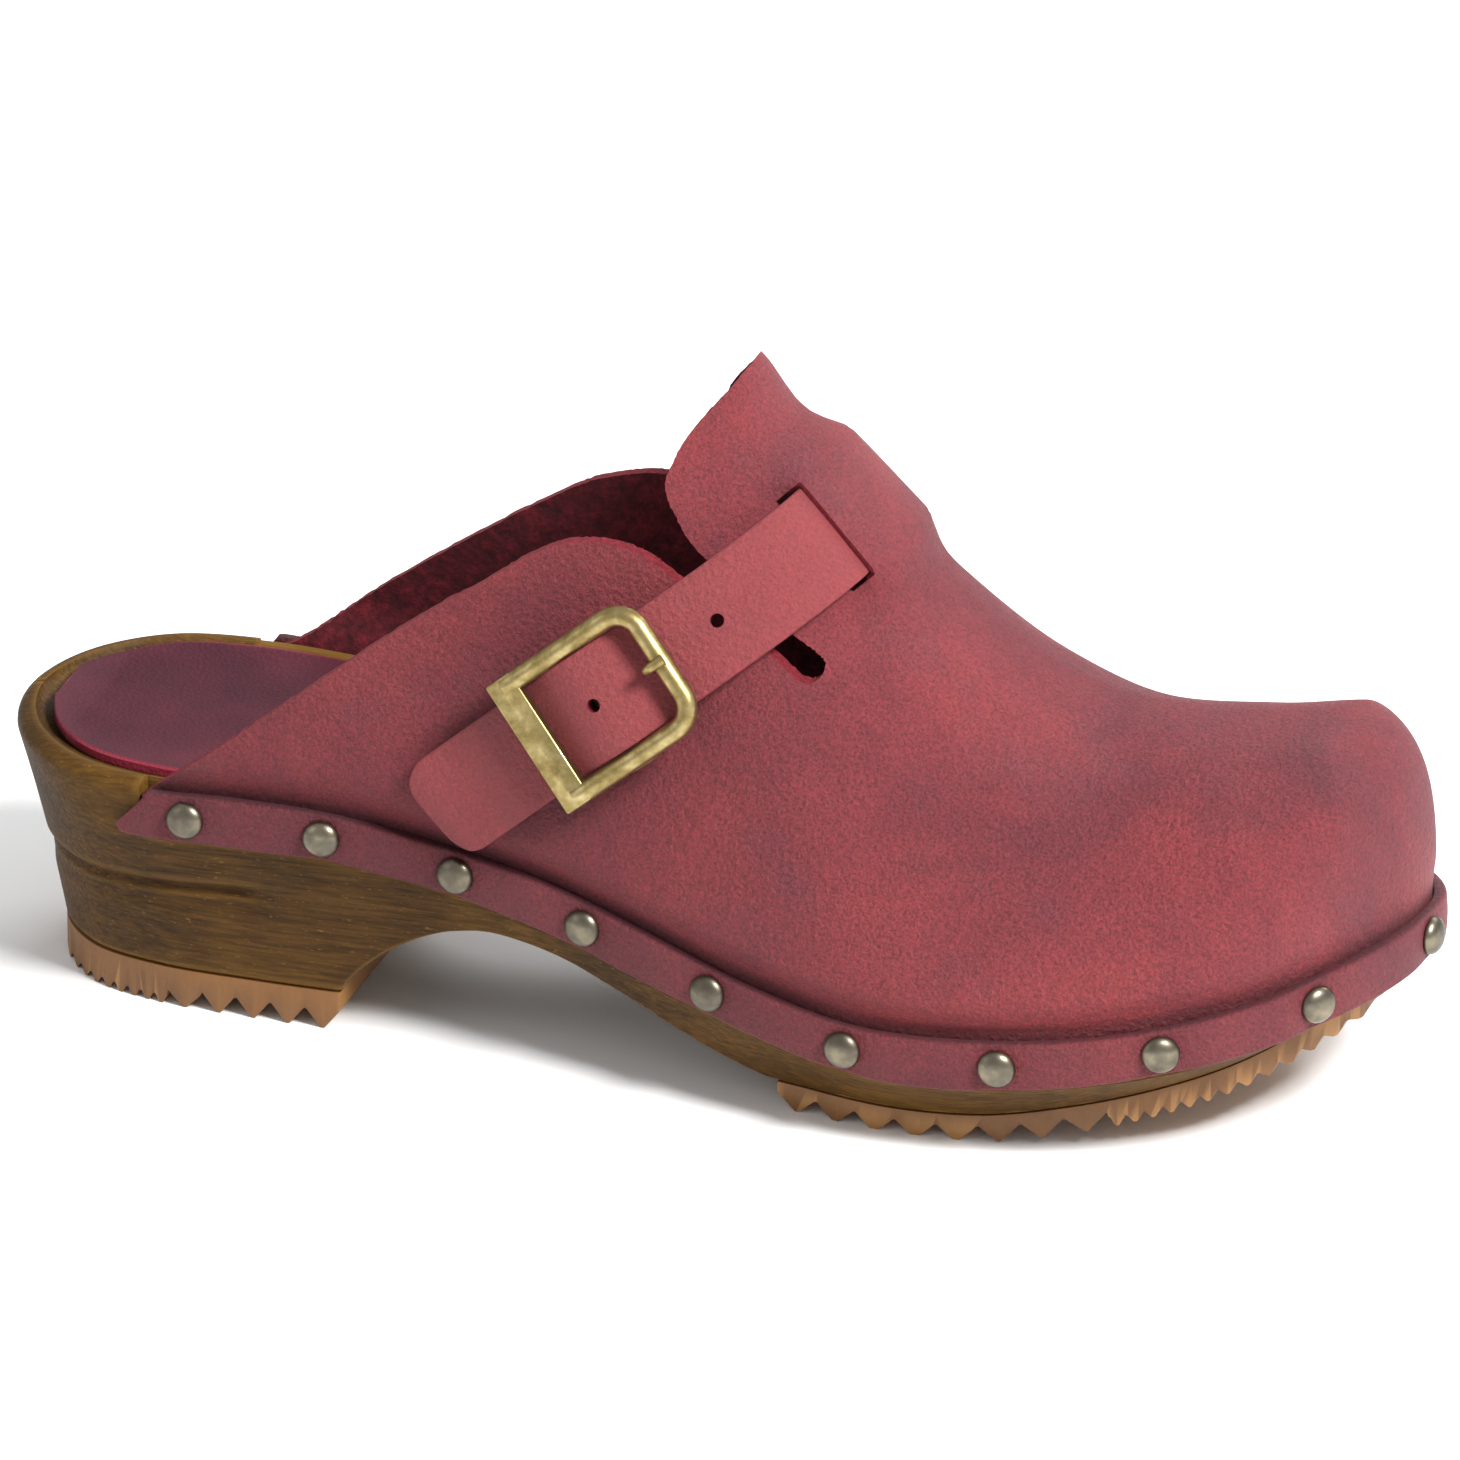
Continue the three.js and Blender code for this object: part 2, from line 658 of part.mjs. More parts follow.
// A body that follows the strap between two distances from the pin
function alongStrap(from, to, halfWidth, above, below, corner = 0) {
  const distances = [0, 0.15, 0.4].map((share) => from + corner * share);
  const steps = Math.ceil((to - from) / 2.8);
  for (let i = 0; i <= steps; i++) {
    distances.push(from + corner + ((to - from - corner) * i) / steps);
  }
  const sections = distances.slice(corner ? 0 : 3).map((distance) => {
    const { at, across, normal } = strapFrame(distance);
    const fromEnd = Math.min(distance - from, corner);
    const narrowing = corner - Math.sqrt(corner ** 2 - (corner - fromEnd) ** 2);
    const side = across.multiplyScalar(halfWidth - narrowing);
    const over = normal.clone().multiplyScalar(above);
    const under = normal.clone().multiplyScalar(-below);
    return [
      at.clone().add(side).add(over),
      at.clone().sub(side).add(over),
      at.clone().sub(side).add(under),
      at.clone().add(side).add(under),
    ];
  });
  return solid(loft(sections));
}

// ---- Buckle --------------------------------------------------------------------------------

// The buckle's own frame: x along the strap towards the crest, y across it, z off the upper
function buckleBase() {
  const { point, normal } = onUpper(true, buckleX, buckleZ);
  const ahead = onUpper(true, buckleX + strapRun.x, buckleZ + strapRun.z).point;
  const across = vector().crossVectors(normal, ahead.sub(point)).normalize();
  const along = vector().crossVectors(across, normal);
  const base = new THREE.Group();
  base.matrix.makeBasis(along, across, normal).setPosition(point);
  base.matrix.decompose(base.position, base.quaternion, base.scale);
  base.updateMatrixWorld(true);
  return base;
}

const buckleWidth = strapWidth + 2 * gap + 2 * rodDiameter;
const frontBar = buckleLength / 2 - rodDiameter / 2; // from the pin to the front bar's middle
const plateMiddle = -buckleLength / 2 + plateWidth / 2;
const sideRod = buckleWidth / 2 - rodDiameter / 2;
const prongColumn = frontBar - rodDiameter / 2 - gap - prongDiameter / 2;

// A round bar along a bent line that lies in the plane square to a direction
function bentRod(line, diameter, square) {
  const sections = line.map((point, i) => {
    const before = line[Math.max(i - 1, 0)];
    const after = line[Math.min(i + 1, line.length - 1)];
    const along = after.clone().sub(before).normalize();
    const inPlane = vector().crossVectors(square, along);
    const ring = [];
    for (let side = 0; side < roundSides; side++) {
      const angle = ((side + 0.5) / roundSides) * 2 * Math.PI;
      const spoke = inPlane.clone().multiplyScalar(Math.cos(angle));
      spoke.addScaledVector(square, Math.sin(angle));
      ring.push(point.clone().addScaledVector(spoke, diameter / 2));
    }
    return ring;
  });
  return solid(loft(sections));
}

function box(lengthX, widthY, heightZ, x, y, z) {
  return new THREE.BoxGeometry(lengthX, widthY, heightZ).translate(x, y, z);
}

// A cylinder across the buckle, on its pin's line
function acrossPin(radius, fromY, toY) {
  const cylinder = new THREE.CylinderGeometry(radius, radius, toY - fromY, 2 * roundSides);
  return solid(cylinder.translate(0, (fromY + toY) / 2, pinHeight));
}

function buckleFrame() {
  const corner = 4.5;
  const bend = new THREE.Path();
  bend.moveTo(plateMiddle, -sideRod);
  bend.lineTo(frontBar - corner, -sideRod);
  bend.absarc(frontBar - corner, -sideRod + corner, corner, -Math.PI / 2, 0, false);
  bend.absarc(frontBar - corner, sideRod - corner, corner, 0, Math.PI / 2, false);
  bend.lineTo(plateMiddle, sideRod);
  const line = bend.getPoints(5).map(({ x, y }) => vector(x, y, frameHeight));
  const distinct = line.filter((point, i) => i === 0 || point.distanceTo(line[i - 1]) > 0.01);
  const plate = solid(box(plateWidth, buckleWidth, plateThickness, plateMiddle, 0, frameHeight));
  const eye = pinDiameter / 2 + 1.4;
  const inside = sideRod - rodDiameter / 2;
  return bentRod(distinct, rodDiameter, vector(0, 0, 1))
    .add(plate)
    .add(acrossPin(eye, -sideRod - rodDiameter / 2, -inside))
    .add(acrossPin(eye, inside, sideRod + rodDiameter / 2))
    .subtract(acrossPin(pinDiameter / 2 + bore, -buckleWidth, buckleWidth));
}

const bucklePin = () => acrossPin(pinDiameter / 2, -buckleWidth / 2, buckleWidth / 2);

function buckleProng() {
  const low = 1.5;
  const high = frameHeight + rodDiameter / 2 + gap + prongDiameter / 2;
  const line = [
    [1.6, pinHeight - 1.2], [4, low + 0.2], [prongColumn - 1.2, low], [prongColumn, low + 1.2],
    [prongColumn, high - 1], [prongColumn + 0.9, high], [frontBar + 0.3, high + 0.1],
  ];
  const middle = line.map(([x, z]) => vector(x, 0, z));
  const arm = bentRod(middle, prongDiameter, vector(0, 1, 0));
  const width = prongDiameter * 2;
  return arm
    .add(acrossPin(pinDiameter / 2 + bore + 1, -width / 2, width / 2))
    .subtract(acrossPin(pinDiameter / 2 + bore, -width, width));
}

const chapeTail = -12;
const chapeSeat = 0.55; // above the upper's swell under the buckle
const chapeLayers = 2 * chapeThickness;
const chapeRivets = [-3.4, 3.4].map((y) => vector(chapeTail + 4, y, 0));

function buckleChape() {
  const shape = new THREE.Shape();
  shape.moveTo(chapeTail, chapeSeat);
  shape.lineTo(-3, chapeSeat);
  shape.absarc(0, pinHeight, pinLoop, (-2 * Math.PI) / 3, (0.6 * Math.PI), false);
  shape.lineTo(-4.5, chapeSeat + chapeLayers + 0.2);
  shape.lineTo(chapeTail, chapeSeat + chapeLayers);
  const outline = shape.getPoints(roundSides).map(({ x, y }) => [x, y]);
  const window = box(2 * pinLoop + 1, prongDiameter * 2 + 2 * gap, 20, 0, 0, 1.2 + 10);
  return solid(sidewaysPrism(outline, -chapeWidth / 2, chapeWidth / 2))
    .subtract(acrossPin(pinDiameter / 2 + bore, -chapeWidth, chapeWidth))
    .subtract(solid(window));
}

// A rivet: a domed head outside, a flat one inside, and the grip between them
function rivetProfile(head, grip) {
  const inner = head * 0.4;
  const height = 0.5;
  return [
    [0, -grip - height], [inner, -grip - height], [inner, -grip], [shankDiameter / 2, -grip],
    [shankDiameter / 2, 0], [head / 2, 0], [head * 0.35, height * 0.8], [0, height],
  ];
}

// ---- Assembly ------------------------------------------------------------------------------

const finishes = {
  wood: { color: 0x6b4a33, roughness: 0.6, metalness: 0 },
  rubber: { color: 0xb5793f, roughness: 0.8, metalness: 0 },
  leather: { color: 0x9e4149, roughness: 0.75, metalness: 0 },
  insole: { color: 0x6a2f3d, roughness: 0.8, metalness: 0 },
  brass: { color: 0xa58a4e, roughness: 0.35, metalness: 1 },
  bronze: { color: 0x6d6a63, roughness: 0.4, metalness: 1 },
};

const clog = new THREE.Group();

function place(name, shape, finish, into = clog) {
  const geometry = shape.isBufferGeometry ? shape : geometryOf(shape);
  const mesh = new THREE.Mesh(geometry, new THREE.MeshStandardMaterial(finishes[finish]));
  mesh.name = name;
  into.add(mesh);
  return mesh;
}

const flapSplitY = crestPoint(8.3).y;
const upper = upperShell()
  .subtract(toplineCutter(lateralTopline, -soleWidth, flapSplitY))
  .subtract(toplineCutter(medialTopline, flapSplitY - 0.1, soleWidth));

const stations = studStations();
const seats = stations.map(studSeat);
const base = buckleBase();
const inWorld = (shape) => solid(geometryOf(shape).applyMatrix4(base.matrixWorld));
const upwardsOff = vector(0, 0, 1).applyQuaternion(base.quaternion);

let band = edgeBand();
let drilledSole = woodenSole();
let drilledUpper = upper;
for (const seat of seats) {
  const hole = shankHole(seat, shankDiameter, -shankLength - 0.5, 2);
  band = band.subtract(hole);
  drilledSole = drilledSole.subtract(hole);
  drilledUpper = drilledUpper.subtract(hole);
}

// The swelling over the strap's hidden run, and the channel with a slot at each end
const halfStrap = strapWidth / 2;
const halfThick = strapThickness / 2;
const swelling = alongStrap(
  slotFromPin + slotLength,
  medialSlot - slotLength,
  halfStrap + gap + leatherThickness,
  halfThick + gap + leatherThickness,
  halfThick,
);
const channel = alongStrap(
  slotFromPin,
  medialSlot,
  halfStrap + gap,
  halfThick + 2 * gap,
  3 * strapThickness,
);
drilledUpper = drilledUpper.add(swelling).subtract(channel);

// The strap and its holes: one for the prong, and one each side of it
let strap = alongStrap(-tailFromPin, anchorEnd, halfStrap, halfThick, halfThick, strapCorner);
const prongPlace = vector(prongColumn, 0, 4).applyMatrix4(base.matrixWorld);
const prongSeat = { at: prongPlace, direction: upwardsOff };
strap = strap.subtract(shankHole(prongSeat, strapHoleDiameter - 2 * bore, -8, 8));
for (const step of [-1, 1]) {
  const { at, normal } = strapFrame(prongColumn + step * strapHolePitch);
  const hole = shankHole({ at, direction: normal }, strapHoleDiameter - 2 * bore, -3, 3);
  strap = strap.subtract(hole);
}

// Rivets that hold the chape to the lateral quarter and the strap's end to the medial one
const chapeSeats = chapeRivets.map((place) => {
  const at = place.clone();
  at.z = chapeSeat + chapeLayers + gap;
  return { at: at.applyMatrix4(base.matrixWorld), direction: upwardsOff };
});
const anchorSeats = [6, 14].map((back) => {
  const { at, normal } = strapFrame(anchorEnd - back);
  return { at: at.addScaledVector(normal, strapThickness / 2 + gap), direction: normal };
});
let chape = inWorld(buckleChape());
for (const seat of chapeSeats) {
  const hole = shankHole(seat, shankDiameter, -12, 4);
  chape = chape.subtract(hole);
  drilledUpper = drilledUpper.subtract(hole);
}
for (const seat of anchorSeats) {
  const hole = shankHole(seat, shankDiameter, -10, 4);
  strap = strap.subtract(hole);
  drilledUpper = drilledUpper.subtract(hole);
}

place("wooden_sole", drilledSole, "wood");
place("heel_tread", tread(heelBack, heelFront, heelTreadThickness, () => 0), "rubber");
place("forepart_tread", tread(forepartBack, forepartFront, treadThickness, springAt), "rubber");
place("insole_sock", insoleSock(drilledSole), "insole");
place("upper", drilledUpper, "leather");
place("edge_band", band, "leather");
place("strap", strap, "leather");
place("buckle_chape", chape, "leather");

clog.add(base);
place("buckle_frame", buckleFrame(), "brass", base);
place("buckle_pin", bucklePin(), "brass", base);
place("buckle_prong", buckleProng(), "brass", base);

function placeTurned(name, profile, segments, finish, { at, direction }) {
  const mesh = place(name, solid(turned(profile, segments)), finish);
  pointingAlong(mesh, at, direction);
}
const number = (i) => String(i + 1).padStart(2, "0");
const stud = nailProfile(studDiameter, studHeight, shankDiameter, shankLength);
seats.forEach((seat, i) => placeTurned(`stud_${number(i)}`, stud, 10, "bronze", seat));
const chapeGrip = chapeSeat + chapeLayers + 2 * gap + leatherThickness;
const anchorGrip = strapThickness + 5 * gap + leatherThickness + 0.6;
chapeSeats.forEach((seat, i) =>
  placeTurned(`chape_rivet_${number(i)}`, rivetProfile(rivetDiameter - 1, chapeGrip), 10, "bronze", seat),
);
anchorSeats.forEach((seat, i) =>
  placeTurned(`anchor_rivet_${number(i)}`, rivetProfile(rivetDiameter + 1, anchorGrip), 10, "bronze", seat),
);

export default clog;
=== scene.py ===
import math

import bmesh
import bpy
import numpy as np
from mathutils import Matrix, Vector
from mathutils.kdtree import KDTree


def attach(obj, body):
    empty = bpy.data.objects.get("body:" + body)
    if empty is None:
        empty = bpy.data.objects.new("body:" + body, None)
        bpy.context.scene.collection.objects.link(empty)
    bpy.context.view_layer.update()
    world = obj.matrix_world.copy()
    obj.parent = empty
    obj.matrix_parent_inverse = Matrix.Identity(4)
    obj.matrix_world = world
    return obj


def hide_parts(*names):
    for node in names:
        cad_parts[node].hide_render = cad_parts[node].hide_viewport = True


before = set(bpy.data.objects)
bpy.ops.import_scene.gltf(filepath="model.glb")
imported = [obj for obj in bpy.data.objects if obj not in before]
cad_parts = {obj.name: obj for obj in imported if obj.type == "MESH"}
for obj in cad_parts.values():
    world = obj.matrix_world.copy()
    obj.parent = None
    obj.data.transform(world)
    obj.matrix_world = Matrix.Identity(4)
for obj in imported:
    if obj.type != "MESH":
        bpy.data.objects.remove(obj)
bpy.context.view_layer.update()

mm = 0.001

# ---- Wooden sole --------------------------------------------------------------------------
# One block of alder, sawn to the outline of the foot, with a carved heel, an arch cut under the
# waist and a rabbet round the forepart for the upper. Brown stained, its edges rubbed lighter.

RIM = np.array([
    (-130, 0, 46.4), (-125.3, -16.8, 45.9), (-112.8, -28.8, 45.1), (-96, -33, 44.6),
    (-78, -33.2, 44.9), (-60, -32.3, 44), (-40, -31.8, 40.8), (-20, -34, 37),
    (0, -38, 31.8), (20, -42.5, 26.8), (42, -46, 23.4), (66, -45.5, 24.2),
    (88, -41, 27.2), (106, -32, 31), (118.5, -18.5, 34.4), (125.8, -5, 36.4),
    (128, 7, 37), (125.7, 16, 36.4), (119, 25, 34.6), (108, 33, 31.6), (93, 41, 28),
    (74, 45.7, 25), (52, 46, 23.5), (30, 42, 25), (8, 35.5, 29.8), (-14, 30.7, 35.5),
    (-36, 29.2, 40.5), (-58, 30.7, 44.6), (-78, 32.6, 45.6), (-96, 33.2, 45.9),
    (-112.8, 29, 46.4), (-125.3, 17, 46.5),
], float)
STATIONS = len(RIM)
TOE = STATIONS // 2
UPPER_START = 3  # the rim station where the upper and its band begin
BAND_HEIGHT = 9.5
LEATHER = 2.4
RABBET = LEATHER + 0.9
RABBET_START = 2.94
BED_INSET = 3.2
HEEL_FLOOR, FRONT_FLOOR = 7.5, 5.3  # where the wood ends above the treads


def through(points, place, closed=False):
    """Points on the smooth curve through the given points, at places counted in points."""
    points = np.asarray(points, float)
    place = np.atleast_1d(np.asarray(place, float))
    count = len(points)
    if closed:
        place = place % count
        first = np.floor(place).astype(int)
    else:
        first = np.clip(np.floor(place).astype(int), 0, count - 2)
        points = np.vstack([2 * points[0] - points[1], points, 2 * points[-1] - points[-2]])
    t = (place - first)[:, None]
    four = []
    for offset in (-1, 0, 1, 2):
        four.append(points[(first + offset) % count] if closed else points[first + offset + 1])
    a, b, c, d = four
    return 0.5 * (
        2 * b + (c - a) * t + (2 * a - 5 * b + 4 * c - d) * t**2 + (3 * b - a - 3 * c + d) * t**3
    )


def smooth_rows(rows, x):
    """A smooth function through rows of (position, value)."""
    rows = np.asarray(rows, float)
    at, value = rows[:, 0], rows[:, 1]
    x = np.clip(np.asarray(x, float), at[0], at[-1])
    i = np.clip(np.searchsorted(at, x, side="right") - 1, 0, len(at) - 2)
    before = np.where(i > 0, i - 1, i + 1)
    after = np.where(i + 2 < len(at), np.minimum(i + 2, len(at) - 1), i)
    width = at[i + 1] - at[i]
    back = 0.5 * width / (at[i] - at[before])
    ahead = 0.5 * width / (at[after] - at[i + 1])
    p = (x - at[i]) / width
    return (
        (-back * p**3 + 2 * back * p**2 - back * p) * value[before]
        + ((1 + back) * p**3 + (-1.5 - 2 * back) * p**2 + (-0.5 + back) * p + 1) * value[i]
        + ((-1 - ahead) * p**3 + (1.5 + ahead) * p**2 + 0.5 * p) * value[i + 1]
        + (ahead * p**3 - ahead * p**2) * value[after]
    )


def smoothstep(x, low, high):
    t = np.clip((np.asarray(x, float) - low) / (high - np.asarray(low, float)), 0, 1)
    return t * t * (3 - 2 * t)


def outward_at(station):
    tangent = through(RIM, station + 0.03, True) - through(RIM, station - 0.03, True)
    out = np.stack([tangent[:, 1], -tangent[:, 0], 0 * tangent[:, 0]], 1)
    return out / np.linalg.norm(out, axis=1)[:, None]


def beside_rim(station, inset, drop):
    """Points beside the rim: inset is measured inwards, drop downwards."""
    station = np.atleast_1d(np.asarray(station, float))
    point = through(RIM, station, True) - outward_at(station) * np.reshape(inset, (-1, 1))
    point[:, 2] -= np.ravel(drop)
    return point


def sidewise(station):
    """The lateral station that a station lies opposite to."""
    station = np.asarray(station, float)
    return np.where(station <= TOE, station, STATIONS - station)


ARCH = [(-61, 7.4), (-59, 10.5), (-56, 13.6), (-51, 17.6), (-45, 20.9), (-39, 23), (-31, 24),
        (-19, 22), (-8, 17.6), (3, 12.4), (12, 8.4), (21, 5)]
SPRING = [(20, 0), (60, 0), (75, 2.6), (90, 6.2), (105, 11), (116, 15.7), (129, 22)]
UNDERSIDE_INSET = list(enumerate(
    [8.7, 8, 6.5, 5, 4, 3, 3, 4, 6, 7, 7, 8, 8.5, 8, 7.5, 7, 7]))


def underside(x):
    flat = np.where(x < 0, HEEL_FLOOR, FRONT_FLOOR + smooth_rows(SPRING, x))
    arch = through(ARCH, np.linspace(0, len(ARCH) - 1, 400))
    cut = np.interp(x, arch[:, 0], arch[:, 1], left=0, right=0)
    return np.maximum(flat, cut)


def sole_side(station, rabbeted):
    """Rows of points down the side of the sole at many stations, bed edge first."""
    rows = []
    if rabbeted:
        for drop in (0, 2.5, 5, 7.5, BAND_HEIGHT - 0.4):
            rows.append(beside_rim(station, RABBET, drop))
        for inset, drop in ((RABBET - 0.4, 0.3), (RABBET - 1, 0.3), (0.7, 0.3), (0.25, 0.42),
                            (0, 0.9)):
            rows.append(beside_rim(station, inset, BAND_HEIGHT + drop))
        top = BAND_HEIGHT + 0.9
    else:
        for turn in np.linspace(0, math.pi / 2, 10):
            rows.append(beside_rim(station, BED_INSET * (1 - math.sin(turn)),
                                   2.6 * (1 - math.cos(turn))))
        top = 2.6 + (BAND_HEIGHT + 0.9 - 2.6) * smoothstep(sidewise(station), 1.2, 2.9)
    foot = beside_rim(station, smooth_rows(UNDERSIDE_INSET, sidewise(station)), 0)
    shoulder = beside_rim(station, 0, top)
    floor = np.where(foot[:, 0] < 0, HEEL_FLOOR, FRONT_FLOOR + smooth_rows(SPRING, foot[:, 0]))
    foot[:, 2] = floor
    reach = np.ones(len(foot))
    for _ in range(6):
        low = shoulder + (foot - shoulder) * reach[:, None]
        reach = (shoulder[:, 2] - underside(low[:, 0])) / (shoulder[:, 2] - floor)
        reach = np.clip(reach, 0.02, 1)
    out = outward_at(station)
    for share in np.linspace(0, 1, 46)[1:]:
        down = share * reach
        point = shoulder + (foot - shoulder) * down[:, None]
        hollow = 0.5 * np.sin(math.pi * np.clip(down, 0, 1))
        hollow = hollow * smoothstep(-sidewise(station), -5.5, -2)
        at = point[:, 2] - (21.6 + (point[:, 0] + 124) * 0.055)
        carved = smoothstep(-point[:, 0], 70, 80)
        step = np.where(station < TOE, 1.0, 0.8) * carved
        groove = step * (1.5 * np.exp(-((at - 1.1) / 1.1) ** 2)
                         + 0.5 * np.exp(-((at + 1.4) / 1.8) ** 2))
        worn = 0.5 * smoothstep(share, 0.975, 1)
        rows.append(point - out * (hollow + groove + worn)[:, None])
    return rows


BED_ACROSS = np.linspace(0, 1, 33)


def bed_sink(share):
    return 3.5 * (1 - (2 * share - 1) ** 4)


def sole_loops(station, rabbeted):
    station = np.asarray(station, float)
    lateral = sole_side(station, rabbeted)
    medial = sole_side(STATIONS - station, rabbeted)
    width = np.linalg.norm(medial[0] - lateral[0], axis=1)
    bed = []
    for share in BED_ACROSS[1:-1]:
        point = medial[0] + (lateral[0] - medial[0]) * share
        point[:, 2] -= bed_sink(share) * np.minimum(1, width / 40)
        bed.append(point)
    under = []
    for share in np.linspace(0, 1, 17)[1:-1]:
        under.append(lateral[-1] + (medial[-1] - lateral[-1]) * share)
    return np.stack(lateral + under + medial[::-1] + bed, 1)


def linked(name, data):
    piece = bpy.data.objects.new(name, data)
    bpy.context.scene.collection.objects.link(piece)
    return piece


def mesh_piece(name, loops):
    """A closed body through equal loops of points, in millimetres, its two ends filled."""
    loops = np.asarray(loops, float)
    count, size, _ = loops.shape
    mesh = bpy.data.meshes.new(name)
    verts = (loops.reshape(-1, 3) * mm).tolist()
    faces = []
    for i in range(count - 1):
        for j in range(size):
            k = (j + 1) % size
            faces.append((i * size + j, (i + 1) * size + j, (i + 1) * size + k, i * size + k))
    for i, turn in ((0, 1), (count - 1, -1)):
        centre = len(verts)
        verts.append((loops[i].mean(0) * mm).tolist())
        for j in range(size):
            pair = (i * size + j, i * size + (j + 1) % size)[::turn]
            faces.append((pair[0], pair[1], centre))
    mesh.from_pydata(verts, [], faces)
    piece = linked(name, mesh)
    tidy_mesh(piece)
    return piece


def tidy_mesh(piece, apart=0.00001):
    """Merges doubles and turns every face outwards."""
    work = bmesh.new()
    work.from_mesh(piece.data)
    bmesh.ops.remove_doubles(work, verts=work.verts, dist=apart)
    bmesh.ops.dissolve_degenerate(work, edges=work.edges, dist=apart / 2)
    bmesh.ops.recalc_face_normals(work, faces=work.faces)
    if work.calc_volume(signed=True) < 0:
        bmesh.ops.reverse_faces(work, faces=work.faces)
    work.to_mesh(piece.data)
    work.free()


def alone(piece):
    bpy.ops.object.select_all(action="DESELECT")
    piece.select_set(True)
    bpy.context.view_layer.objects.active = piece


def shade(piece, degrees=35):
    alone(piece)
    bpy.ops.object.shade_smooth_by_angle(angle=math.radians(degrees))


def apply_modifier(piece, kind, **settings):
    alone(piece)
    modifier = piece.modifiers.new(kind.title(), kind)
    for key, value in settings.items():
        setattr(modifier, key, value)
    bpy.ops.object.modifier_apply(modifier=modifier.name)


def linear(hex_colour):
    """The linear colour of an sRGB hex value, for a colour socket."""
    found = []
    for i in (0, 2, 4):
        c = int(hex_colour[i:i + 2], 16) / 255
        found.append(c / 12.92 if c <= 0.04045 else ((c + 0.055) / 1.055) ** 2.4)
    return (*found, 1)


def node(material, kind, links=(), **settings):
    """Adds a node; settings name its properties or sockets, links give (socket, output)."""
    made = material.node_tree.nodes.new(kind)
    for key, value in settings.items():
        if hasattr(made, key):
            setattr(made, key, value)
        else:
            socket = key.replace("_", " ")
            found = [s for s in made.inputs if s.name.lower() == socket.lower() and s.enabled]
            found[0].default_value = value
    for socket, source in links:
        end = made.inputs[socket]
        material.node_tree.links.new(source, end)
    return made


def noise(material, place, **settings):
    return node(material, "ShaderNodeTexNoise", [("Vector", place)], **settings)


def new_material(name):
    material = bpy.data.materials.new(name)
    material.use_nodes = True
    material.node_tree.nodes.clear()
    return material


def ramp(material, source, stops):
    """A colour ramp from a factor, through (place, colour) stops."""
    made = node(material, "ShaderNodeValToRGB", [("Fac", source)])
    while len(made.color_ramp.elements) > 1:
        made.color_ramp.elements.remove(made.color_ramp.elements[-1])
    made.color_ramp.elements[0].position = stops[0][0]
    made.color_ramp.elements[0].color = stops[0][1]
    for place, colour in stops[1:]:
        made.color_ramp.elements.new(place).color = colour
    return made.outputs["Color"]


def grey(value):
    return (value, value, value, 1)


def mixed(material, share, first, second, mode="MIX"):
    """Mixes two colours; share is an output or a number."""
    made = node(material, "ShaderNodeMix", data_type="RGBA", blend_type=mode)
    for place, value in ((0, share), (6, first), (7, second)):
        if isinstance(value, (int, float, tuple)):
            made.inputs[place].default_value = value
        else:
            material.node_tree.links.new(value, made.inputs[place])
    return made.outputs[2]


def finish_material(material, colour, roughness, height, bump_mm, strength=0.5, **sockets):
    """The surface shader with its colour, roughness and bump."""
    bump = node(material, "ShaderNodeBump", [("Height", height)], Strength=strength,
                Distance=bump_mm * mm)
    shader = node(material, "ShaderNodeBsdfPrincipled",
                  [("Base Color", colour), ("Normal", bump.outputs["Normal"])], **sockets)
    if isinstance(roughness, (int, float)):
        shader.inputs["Roughness"].default_value = roughness
    else:
        material.node_tree.links.new(roughness, shader.inputs["Roughness"])
    node(material, "ShaderNodeOutputMaterial", [("Surface", shader.outputs[0])])
    return material


